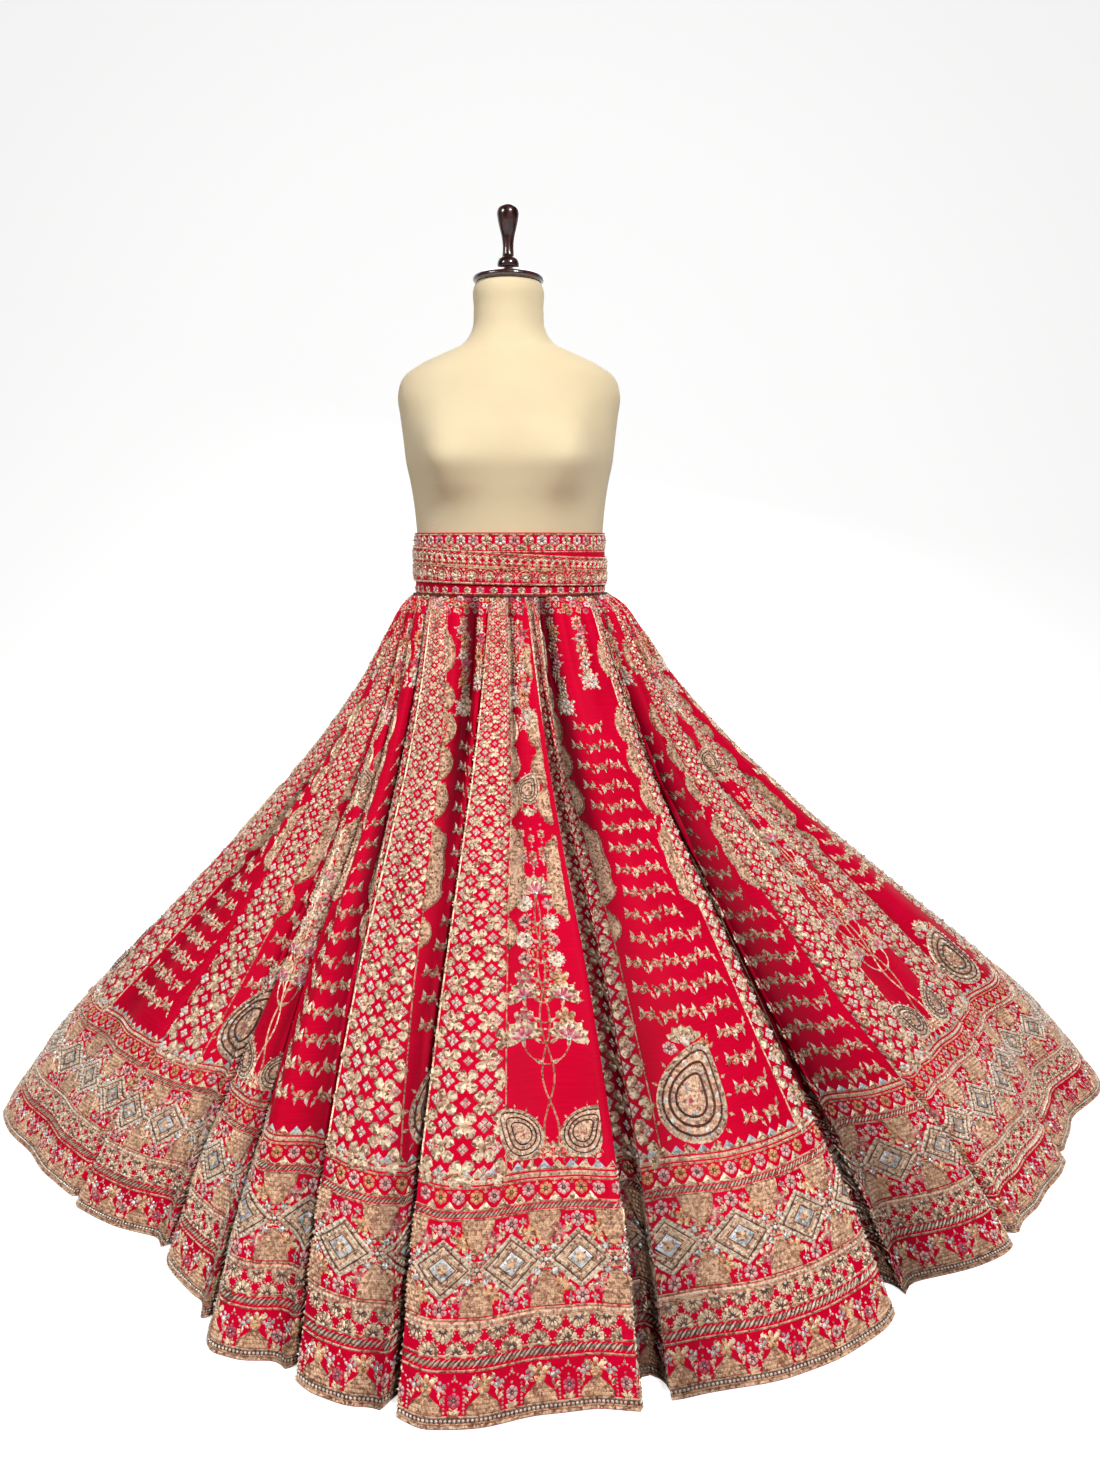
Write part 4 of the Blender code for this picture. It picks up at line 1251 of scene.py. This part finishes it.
def scallops(work, rows, side, base):
    """Padded lobes beside a stripe; base gives the stripe's edge in metres."""
    cloth = work.cloth
    for top, length, width in rows:
        share = np.linspace(0.0, 1.0, 10 if length < LONG_SCALLOP else 20)
        t = cloth.drop_at(top + length * share)
        out = side * width * scallop_edge(share, length)
        # the felt: a low ridge between the stripe and the lobe's edge
        felt = (base(t) + out * np.array([[0.0], [0.5], [1.0]])) / cloth.width(t)
        rise = np.array([[0.0], [0.0013], [0.0]]) + 0.0 * felt
        grid = np.arange(felt.size).reshape(felt.shape)
        here, below, beyond, beside = grid[:-1, :-1], grid[1:, :-1], grid[1:, 1:], grid[:-1, 1:]
        faces = np.vstack([
            np.column_stack([corner.ravel() for corner in half])[:, ::int(-side)]
            for half in ((here, below, beyond), (here, beyond, beside))
        ])
        work.collect(felt, np.tile(t, (3, 1)), rise, faces, np.full(len(faces), COPPER))
        work.cord((base(t) + out) / cloth.width(t), t, 0.0030, GOLD, 0.0030)
        # the filling: slanted stitches over felt, with seed beads among them
        lines, across = max(3, int(length / 0.0048)), max(1, int(width / 0.0046))
        line = np.arange(lines)
        share = (line + 0.5) / lines
        t = cloth.drop_at(top + length * share)
        reach = side * (width * scallop_edge(share, length) - 0.0010)
        for column in range(across):
            a = (base(t) + reach * (column + 0.5) / across) / cloth.width(t)
            turn = 0.9 * np.sin(5.1 * line + 2.3 * column) + 1.2
            beads = (line * 7 + column * 3) % 4 == 0
            for more, size in ((0.0, 1.0), (1.9, 0.9)):
                work.stamp(grain_leaf, a[~beads], t[~beads], turn[~beads] + more, size)
            work.stamp(grain_bead, a[beads], t[beads])


# ---- embroidery: flowers under the gathers and the fields -----------------------------
# Between its stripes each kali has a crimson field. Small flowers fill its gathers,
# garlands hang from them, and below are rows of a fine gold vine, often with a
# large paisley, or one tall flowering plant, all in couched thread and beads.
STRIPE_INSET = 0.0035       # left free between the stripe and the field
FIELD_INSET = 0.004         # left free between the field and the fold on its right
leaf_spray = together(
    *(fanned(petal(0.0066, 0.0040, GOLD, 0.0013, 0.0008), 2.4, 0.74).put(0, -0.0042 * i) for i in range(3)),
    petal(0.0070, 0.0042, GOLD, 0.0014).put(0, 0.0004, 1.57),
    strip([(0, 0.0), (0, -0.0125)], 0.0012, GOLD),
)
white_flower = together(
    disc(0.0122, GOLD, 10), ringed(petal(0.0088, 0.0058, PEARL, 0.0018, 0.0022), 8),
    ringed(seed(0.0012, PEARL, 4, 1.2), 8, 0.0106, 0.39), bead(0.0028, PEARL, 1.0),
)
small_flower_white = flower(0.0066, 6, PEARL, GOLD, 0.0015, 1.15)
small_flower_gold = flower(0.0066, 5, GOLD, PEARL, 0.0016, 1.25)
small_flower_rose = flower(0.0066, 5, PINK, GOLD, 0.0015, 1.25)
FLOWER_KINDS = (
    small_flower_gold, small_flower_pink, small_flower_white, small_flower_orange, small_flower_rose
)
garland_leaf = leaf(0.0080, 0.0042, GOLD, 0.0014, 0.0052)
garland_petal = petal(0.0098, 0.0056, GOLD, 0.0016, 0.0096)


def tucked_by(fold):
    """The share of a kali that the fold on its right hides, at each drop."""
    at_hem, before_seam = fold[3:5]
    shown = at_hem > LONG_FOLD
    return lambda t: 0.0 * t if shown else before_seam * fold_share(at_hem, t)


def field_left(cloth, t):
    """The field's left edge in metres from the kali's left seam."""
    return EDGE + STRIPE_INSET + cloth.set_in * t + lattice_width(t)


def field_right(cloth, t):
    return cloth.width(t) * (1.0 - cloth.tucked(t)) - FIELD_INSET


def field_place(cloth, down, share):
    """A place at this length down a kali, by its share of the field's width."""
    t = float(cloth.drop_at(down))
    left, right = field_left(cloth, t), field_right(cloth, t)
    return (left + (right - left) * share) / float(cloth.width(t)), t


def gather_flowers(work, number):
    cloth = work.cloth
    rows = ((0.0065, 0.0110, 0.80), (0.0180, 0.0125, 0.88), (0.0290, 0.0140, 0.80))
    for line, (down, pitch, size) in enumerate(rows):
        t = float(cloth.drop_at(down))
        count = max(2, round(float(cloth.width(t)) / pitch))
        for place in range(count):
            kind = FLOWER_KINDS[(place * 3 + line * 2 + number) % 5]
            if line == 2 and place % 2:
                kind = leaf_spray
            work.stamp(kind, (place + 0.5 + 0.5 * (line % 2 - 0.5)) / count, t, 0.4 * place, size)
    work.cord(np.linspace(0.004, 0.996, 30), float(cloth.drop_at(0.0012)), 0.0024, ANTIQUE_AND_SHADE, 0.0020)


def garland(work, share, top, bottom, number):
    """Flowers and leaves hanging in a string that ends in a large white flower."""
    cloth = work.cloth
    for i, down in enumerate(np.arange(top, bottom, 0.0130)):
        a, t = field_place(cloth, down, share)
        a += 0.0030 * math.sin(2.1 * i + number) / float(cloth.width(t))
        if i % 3 == 0:
            work.stamp(leaf_spray, a, t, 0.35 * math.sin(1.7 * i), 1.25)
            continue
        work.stamp(FLOWER_KINDS[(i * 2 + number) % 5], a, t, 0.9 * i, 1.10)
        for turn in (-0.7, 0.4, 2.7, 3.8):
            work.stamp(garland_leaf, a, t, turn + 0.2 * i % 2)
    a, t = field_place(cloth, bottom + 0.010, share)
    for turn in (0.6, 1.3, 1.84, 2.54, 3.9, 5.5):
        work.stamp(garland_petal, a, t, turn)
    work.stamp(white_flower, a, t, 0.2, 1.22)


VINE_UNIT = 0.0222


def tendril(up):
    """Points of a tendril that rolls up on itself from beside the stem."""
    radius = 0.0052
    angles = np.linspace(0.0, 0.85 * 2.0 * math.pi, 6)
    fade = radius * (1.0 - 0.62 * angles / angles[-1])
    return np.column_stack((
        0.0005 + fade * np.sin(angles), up * (0.0036 - radius + fade * np.cos(angles)),
    ))


def vine_unit(up):
    """22 mm of a running vine: stem, one tendril, leaves and a bud."""
    x = np.linspace(-0.011, 0.011, 6)
    stem = np.column_stack((x, up * 0.0040 * np.cos(x / 0.011 * math.pi)))
    return together(
        strip(stem, 0.0032, GOLD, 0.0026), strip(tendril(up), 0.0028, GOLD, 0.0024),
        leaf(0.0124, 0.0054, GOLD, 0.0022).put(-0.0086, up * -0.0030, up * 1.30),
        leaf(0.0124, 0.0054, GOLD, 0.0022).put(0.0066, up * -0.0016, up * 1.70),
        leaf(0.0100, 0.0048, PEARL, 0.0020).put(-0.0046, up * 0.0020, up * 1.95),
        leaf(0.0096, 0.0042, GOLD, 0.0018).put(0.0094, up * -0.0040, up * -1.15),
        large_pearl.put(0.0006, up * -0.0010),
    )


VINES = (vine_unit(1.0), vine_unit(-1.0))


def scallop_reach(rows, down):
    """How far the scallops of a stripe stand out at this place down a kali."""
    return max([width for top, length, width in rows if top - 0.004 < down < top + length + 0.004] or [0.0])


def vine_rows(work, low_paisley):
    """Rows of vine from the scallops to the border, round a paisley if there is one."""
    cloth = work.cloth
    down = 0.205
    while down < float(cloth.length_at(0.755)):
        t = float(cloth.drop_at(down))
        size = 0.80 + 0.42 * t
        left = field_left(cloth, t) + 0.006 + scallop_reach(SCALLOPS_RIGHT, down)
        right = field_right(cloth, t) - 0.006 - scallop_reach(SCALLOPS_LEFT, down)
        if down < 0.215:
            left, right = left + 0.012, right - 0.012
        if low_paisley and down > 0.625:
            left += 0.092
        run = VINE_UNIT * size
        count = int((right - left) / run + 0.35)
        if count > 1:
            run = (right - left) / count
        a = (left + (np.arange(count) + 0.5) * run) / float(cloth.width(t))
        for kind, vine in enumerate(VINES):
            work.stamp(vine, a[kind::2], t, 0.0, size)
        down += 0.0275 + 0.0085 * t


def paisley_edge(share):
    """Outline of a paisley 1 high: from its foot up the left to the curled tip and down."""
    angle = 2.0 * math.pi * share
    x = -0.36 * np.sin(angle) * (1.0 + 0.22 * np.cos(angle))
    y = 0.5 - 0.5 * np.cos(angle)
    return x + 0.30 * y**3.2, y


def paisley(height):
    """A padded paisley: cushions one on the other, ringed with cords and beads."""

    def path(scale, count):
        x, y = paisley_edge(np.arange(count) / count)
        return np.column_stack((x * scale, 0.44 + (y - 0.44) * scale)) * height

    def leaning(x, y, middle):
        return math.atan2(y - middle * height, x)

    # the dark cushion under the paisley's edge is partly a dark outline and partly painted shade round its
    # padding
    motifs = [
        ground(path(1.07, 32)[::-1], ANTIQUE_AND_SHADE, 0.0012, 0.016),
        ground(path(1.0, 32)[::-1], COPPER, 0.0028, 0.014),
    ]
    for scale, wide, thread, lift in (
        (1.0, 0.0042, GOLD, 0.0), (0.86, 0.0024, ANTIQUE_AND_SHADE, 0.0018), (0.65, 0.0026, ANTIQUE_AND_SHADE, 0.0034),
        (0.44, 0.0024, ANTIQUE_AND_SHADE, 0.0038),
    ):
        motifs.append(strip(path(scale, 32), wide, thread, 0.0016, closed=True).put(lift=lift))
    for scale, radius, count, lift in ((0.93, 0.0028, 34, 0.0012), (0.52, 0.0024, 18, 0.0040)):
        motifs += [seed(radius, PEARL, 4, 1.2).put(x, y, lift=lift) for x, y in path(scale, count)]
    for i, (x, y) in enumerate(path(0.76, 22)):
        grain = leaf(0.0104, 0.0068, PEARL if i % 2 else STRAW, 0.0016, -0.0042)
        motifs.append(grain.put(x, y, leaning(x, y, 0.40) + 0.5, lift=0.0018))
    for scale, count, length in ((0.55, 18, 0.0096), (0.34, 11, 0.0096), (0.16, 6, 0.0080)):
        for i, (x, y) in enumerate(path(scale, count)):
            grain = leaf(length, 0.0056, GOLD if i % 3 else STRAW, 0.0016, -0.5 * length)
            motifs.append(grain.put(x, y, leaning(x, y, 0.40) + 0.4, lift=0.0026))
    for share, thread in ((0.28, ICE), (0.41, PINK), (0.54, ICE)):
        motifs.append(seed(0.0028, thread, 6, 0.8).put(0.0, share * height, lift=0.0036))
    tip = leaf(0.0080, 0.0046, GOLD, 0.0016, -0.003)
    motifs += [tip.put(x, y, leaning(x, y, 0.42)) for x, y in path(1.14, 18)]
    return together(*motifs)


big_paisley = paisley(0.102)
# the dark ground under the tuft is partly a dark outline and partly painted shade under its raised petals
paisley_tuft = together(
    ground(arc(0.0150, 0.0200), ANTIQUE_AND_SHADE, 0.0006),
    fanned(petal(0.021, 0.0090, GOLD, 0.0030), 0.5, 1.05, 1.57, 2.09, 2.64),
    fanned(petal(0.012, 0.0044, PEARL, 0.0034), 0.78, 1.57, 2.36), bead(0.0040, PEARL, 0.9),
    small_flower_pink.put(-0.018, -0.004), small_flower_orange.put(0.018, -0.004),
)
# a large open flower seen from the side, in gold with pink tips, drawn 1 high
LOTUS_TURNS = (0.15, 0.62, 1.10, 1.57, 2.04, 2.52, 2.99)
lotus_flower = together(
    fanned(petal(1.0, 0.42, GOLD, 0.10), *LOTUS_TURNS),
    *(petal(0.66, 0.30, thread, 0.13).put(turn=a) for a, thread in
      ((0.40, PINK), (0.86, BLUSH), (1.34, PINK), (1.80, PINK), (2.28, BLUSH), (2.74, PINK))),
    dotted(seed(0.05, PEARL, 5, 1.2), 1.08, LOTUS_TURNS), bead(0.15, SILVER, 0.8),
).put(size=0.026)
blossom = together(
    ringed(petal(0.0050, 0.0038, STRAW, 0.0014, 0.0012), 5), seed(0.0018, ANTIQUE_AND_SHADE, 5, 1.4),
    leaf(0.0052, 0.0030, GOLD, 0.0012, 0.0052).put(turn=-1.2),
)
branch_petal = petal(0.0110, 0.0056, GOLD, 0.0016)
drop_pearl = seed(0.0020, PEARL, 5, 1.2)


def mirrored(motif):
    return Motif(motif.points * (-1.0, 1.0, 1.0), motif.faces[:, ::-1], motif.thread)


def plant(work):
    """A tall plant rising from the border: a double stem with leaves and flowers
    on both sides, large flowers low down and small ones in a cloud at the top."""
    cloth = work.cloth
    low, high = float(cloth.length_at(BORDER_TOP - 0.008)), 0.440

    def stem(downs, shares, width, thread, rise):
        path = [field_place(cloth, down, share) for down, share in zip(downs, shares)]
        work.cord(*np.transpose(path), width, thread, rise)
        return path

    rise = np.linspace(0.0, 1.0, 60)
    for phase, thread in ((0.0, GOLD), (math.pi, COPPER)):
        winding = 0.085 * np.sin(rise * 5.0 * math.pi + phase) * (1.0 - 0.5 * rise)
        stem(low + (high - low) * rise, 0.50 + winding, 0.0024, thread, 0.0018)
    # a pair of paisleys leaning out at the foot
    for side, leaning_out in ((-1.0, mirrored(big_paisley)), (1.0, big_paisley)):
        a, t = field_place(cloth, low - 0.004, 0.5 + side * 0.25)
        size = min(0.92, (field_right(cloth, t) - field_left(cloth, t)) / 0.172)
        work.stamp(leaning_out, a, t, -side * 0.28, size)
    for i in range(9):
        a, t = field_place(cloth, low - 0.002, 0.06 + 0.11 * i)
        work.stamp(leaf_spray, a, cloth.drop_at(cloth.length_at(t) - 0.010), 0.0, 1.25)
    # branches, each a curved stem with leaves and a flower
    for i in range(8):
        up = low - 0.105 - i * (low - high - 0.125) / 8.0
        for side in (-1.0, 1.0):
            s = np.linspace(0.0, 1.0, 9)
            out = side * (0.29 - 0.012 * i) * np.sin(0.5 * math.pi * s)
            path = stem(up - 0.030 * s**1.6, 0.5 + out, 0.0018, GOLD, 0.0014)
            if i in (0, 2):
                work.stamp(lotus_flower, *path[-1], -side * 0.25, 1.0 - 0.06 * i)
            elif i in (1, 3):
                work.stamp(orange_bloom if side > 0 else rose_bloom, *path[-1], 0.0, 1.35)
            else:
                work.stamp(white_flower if (i + (side > 0)) % 2 else pink_flower, *path[-1], 0.3)
            for step, turn in ((3, 1.5 * math.pi - side * 1.1), (6, 0.5 * math.pi - side * 0.2)):
                work.stamp(branch_petal, *path[step], turn)
            if i > 3:
                for nearer, down, share in ((0, 0.006, 0.120), (1, -0.010, 0.205)):
                    at = field_place(cloth, up + down, 0.5 + side * share)
                    work.stamp(blossom, *at, 1.1 * nearer + i)
    work.stamp(lotus_flower, *field_place(cloth, high, 0.5))


def hanging_medallion(work):
    """A padded gold drop that hangs at the head of a field, under its garlands."""
    cloth = work.cloth
    a, t = field_place(cloth, 0.315, 0.5)
    work.stamp(big_paisley, a, t, 0.0, 0.46)
    work.stamp(paisley_tuft, a, float(cloth.drop_at(0.321)), math.pi, 0.62)
    strand = (
        (drop_pearl, 1.0), (leaf_spray, 0.8), (drop_pearl, 1.0), (leaf_spray, 1.0), (silver_drop, 1.0),
    )
    for beside, lower in ((-0.0135, 0.0), (0.0, 0.006), (0.0135, 0.0)):
        for i, (motif, size) in enumerate(strand):
            t = float(cloth.drop_at(0.345 + 0.0125 * i + lower))
            work.stamp(motif, a + beside / float(cloth.width(t)), t, 0.0, size)


def low_paisley(work):
    """A large paisley that stands on the border, with a tuft over it."""
    cloth = work.cloth
    t = BORDER_TOP - 0.010
    left, width = field_left(cloth, t), cloth.width(t)
    work.stamp(big_paisley, (left + 0.046) / width, t, 0.0, 1.08)
    above = cloth.drop_at(cloth.length_at(t) - 0.112)
    work.stamp(paisley_tuft, (left + 0.062) / width, above, 0.0, 1.15)


TURNED = (7, 8)                                 # kalis worked from their right seam
WITH_LOW_PAISLEY = (0, 3, 6, 9, 11, 14, 17)
for number, cloth in enumerate(kali_cloths):
    cloth.set_in = SET_IN.get(number, 0.0)
    cloth.tucked = tucked_by(FOLDS[(number + 1) % KALIS])
    laid = Turned(cloth) if number in TURNED else cloth
    work = Needlework(laid)
    lattice(work)
    scallops(work, SCALLOPS_RIGHT, 1.0, lambda t: field_left(cloth, t))
    scallops(work, SCALLOPS_LEFT, -1.0, lambda t: cloth.width(t) * (1.0 - cloth.tucked(t)) - EDGE)
    work.lay(f"kali_{number + 1:02d}_lattice")
    work = Needlework(laid)
    gather_flowers(work, number)
    if number % 3 == 1:
        garland(work, 0.28, 0.045, 0.150, number)
        garland(work, 0.74, 0.050, 0.185, number + 2)
        hanging_medallion(work)
        plant(work)
    else:
        garland(work, 0.30, 0.045, 0.165, number)
        garland(work, 0.72, 0.045, 0.125, number + 1)
        vine_rows(work, number in WITH_LOW_PAISLEY)
        if number in WITH_LOW_PAISLEY:
            low_paisley(work)
    work.lay(f"kali_{number + 1:02d}_field")

# ---- waistband -----------------------------------------------------------------------
# A band of the same silk over canvas, 90 mm deep, to which the gathered kalis are
# sewn. It is closed at the back and embroidered with gold leaves and flowers.
BAND_TOP = 0.8620
BAND_HALF_X = 0.1425
BAND_HALF_Y = 0.1075
BAND_FANS = 45

turn = np.linspace(-math.pi, math.pi, 145)[None, :]
level = np.linspace(0.0, 1.0, 13)[:, None]


def wrapped(out, high, low):
    """Cloth wrapped round the waist, this far out from the band's face, between two edges."""
    across, deep = (BAND_HALF_X + out) * np.sin(turn), -(BAND_HALF_Y + out) * np.cos(turn)
    points = np.stack(np.broadcast_arrays(across, deep, high + (low - high) * level), axis=-1)
    return Cloth(points, level[:, 0], closed=True)


band_cloth = wrapped(-0.001, BAND_TOP, Z_GATHER)
band = shell("waistband_silk", band_cloth)
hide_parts("waistband")
work = Needlework(band_cloth)
around = np.linspace(0.0, 1.0, 289)
for drop in (0.03, 0.30, 0.955):
    work.cord(around, drop, 0.0022, GOLD, 0.0013)
work.cord(around, 0.985, 0.0026, ANTIQUE_AND_SHADE, 0.0013)
places = (np.arange(BAND_FANS) + 0.5) / BAND_FANS
work.stamp(fan, places, 0.258, 0.0, 0.62)
upper_flowers = (small_flower_white, 1.15), (small_flower_pink, 1.05), (small_flower_gold, 1.15)
for first, (small_flower, size) in enumerate(upper_flowers):
    work.stamp(small_flower, places[first::3] + 0.5 / BAND_FANS, 0.120, 0.0, size)
for first, small_flower in enumerate((small_flower_pink, small_flower_gold)):
    work.stamp(small_flower, places[first::2], 0.90, 0.0, 0.80)
work.lay("waistband_embroidery")

# ---- belt ------------------------------------------------------------------------------
# The skirt's own belt: a stiff crimson strip about 45 mm wide, set a little askew
# round the band. Couched gold cords edge and divide it, with a close row of looped
# rosettes above and a row of round gold buttons under scalloped cords below.
BELT_LOOPS = 76
BELT_BUTTONS = 35
belt_low = 0.7885 - 0.0030 * np.sin(turn)
belt_high = 0.8355 - 0.0085 * np.sin(turn) - 0.0020 * np.cos(turn)
belt_cloth = wrapped(CLOTH, belt_high, belt_low)
belt = shell("belt_silk", belt_cloth)
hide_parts("belt")
loop_rosette = together(
    fanned(petal(0.0060, 0.0040, GOLD, 0.0018, 0.0004), 0.9, 1.57, 2.24, 4.04, 4.71, 5.38),
    *(strip([(-0.0030, 0.0062 * up), (0.0, 0.0074 * up), (0.0030, 0.0062 * up)], 0.0014, GOLD, 0.0014)
      for up in (1, -1)),
    bead(0.0018, PEARL, 1.2),
)
# the dark disc under the button is partly a dark outline and partly painted shade under its raised petals
button = together(
    disc(0.0094, ANTIQUE_AND_SHADE, 12), ringed(petal(0.0058, 0.0046, GOLD, 0.0022, 0.0026), 10),
    ringed(seed(0.0010, PEARL, 4, 1.6), 10, 0.0088, 0.31), bead(0.0031, PEARL, 1.0),
)
button_arch = strip(arc(0.0108, 0.0120, count=11, down=0.0020), 0.0018, GOLD, 0.0018)
work = Needlework(belt_cloth)
for drop, wide in ((0.032, 0.0034), (0.455, 0.0026), (0.505, 0.0020), (0.968, 0.0034)):
    work.cord(around, drop, wide, GOLD, 0.0016)
work.stamp(loop_rosette, (np.arange(BELT_LOOPS) + 0.5) / BELT_LOOPS, 0.262, 0.0, 1.10)
work.stamp(seed(0.0019, PEARL, 5, 1.5), np.arange(BELT_LOOPS) / BELT_LOOPS + 0.001, 0.150)
places = (np.arange(BELT_BUTTONS) + 0.5) / BELT_BUTTONS
work.stamp(button, places, 0.755, 0.0, 0.92)
work.stamp(button_arch, places, 0.745)
between = np.arange(BELT_BUTTONS + 1) / BELT_BUTTONS
work.stamp(seed(0.0021, PEARL, 5, 1.4), between, 0.575)
for along, leaning in ((-0.0020, 1.05), (0.0020, 2.09)):
    work.stamp(petal(0.0088, 0.0044, BLUSH, 0.0016).put(along, -0.0044, leaning), between, 0.800)
work.stamp(petal(0.0060, 0.0040, PINK, 0.0016).put(0.0, -0.0034, 1.57), between, 0.850)
work.lay("belt_embroidery")

# ---- floor, light and camera -----------------------------------------------------
# A plain pale studio: the form stands on one seamless sheet of paper, which turns
# up behind it in a wide curve, under broad soft lamps and an even pale sky.
SWEEP_RADIUS = 1.6
SWEEP_BACK = 4.2
sweep = [(-8.0, 0.0)] + [
    (SWEEP_BACK - SWEEP_RADIUS * (1.0 - math.sin(a)), SWEEP_RADIUS * (1.0 - math.cos(a)))
    for a in np.linspace(0.0, math.pi / 2, 13)
] + [(SWEEP_BACK, 7.0)]
sweep_points = [(x, y, z) for y, z in sweep for x in (-9.0, 9.0)]
paper = Finish("pale_paper", Roughness=0.8, Specular_IOR_Level=0.1, Emission_Strength=0.72)
paper.shader.inputs["Emission Color"].default_value = (1.0, 1.0, 1.0, 1.0)
fibre = paper.noise(paper.place(), 60.0, 3.0)
paper.join("Base Color", fibre.mix((0.87, 0.865, 0.86), (0.91, 0.905, 0.90)))
floor = mesh_piece(
    "studio_sweep", sweep_points,
    [[(2 * i, 2 * i + 1, 2 * i + 3, 2 * i + 2) for i in range(len(sweep) - 1)]], [paper],
)
floor.visible_diffuse = False


def soft_lamp(name, place, aim, size, power):
    lamp = bpy.data.lights.new(name, "AREA")
    lamp.size = size
    lamp.energy = power
    made = bpy.data.objects.new(name, lamp)
    made.location = place
    away = np.array(place) - np.array(aim)
    made.rotation_euler = (
        math.atan2(math.hypot(away[0], away[1]), away[2]), 0.0, math.atan2(away[0], -away[1]),
    )
    bpy.context.scene.collection.objects.link(made)


soft_lamp("key_light", (1.2, -2.2, 2.7), (0.0, 0.0, 0.5), 0.5, 86.0)
soft_lamp("fill_light", (-2.4, -1.8, 2.5), (0.0, 0.0, 0.5), 0.9, 52.0)
soft_lamp("back_light", (0.6, 3.0, 2.8), (0.0, 0.0, 0.7), 2.4, 40.0)
sky = bpy.data.worlds.new("studio_sky")
sky.use_nodes = True
sky.node_tree.nodes["Background"].inputs[0].default_value = (1.0, 1.0, 1.0, 1.0)
sky.node_tree.nodes["Background"].inputs[1].default_value = 0.05
bpy.context.scene.world = sky
bpy.context.scene.view_settings.view_transform = "Standard"

FILM_HEIGHT = 24.0          # millimetres
PICTURE_HEIGHT = 1467.0     # pixels, as is the distance from the lens to the picture
PICTURE_DISTANCE = 1087.0
lens = bpy.data.cameras.new("view")
lens.sensor_fit = "VERTICAL"
lens.sensor_height = FILM_HEIGHT
lens.lens = FILM_HEIGHT * PICTURE_DISTANCE / PICTURE_HEIGHT
camera = bpy.data.objects.new("view", lens)
camera.location = (0.06, -1.66, 0.849)
camera.rotation_euler = (math.radians(80.0), 0.0, 0.0)
bpy.context.scene.collection.objects.link(camera)
bpy.context.scene.camera = camera
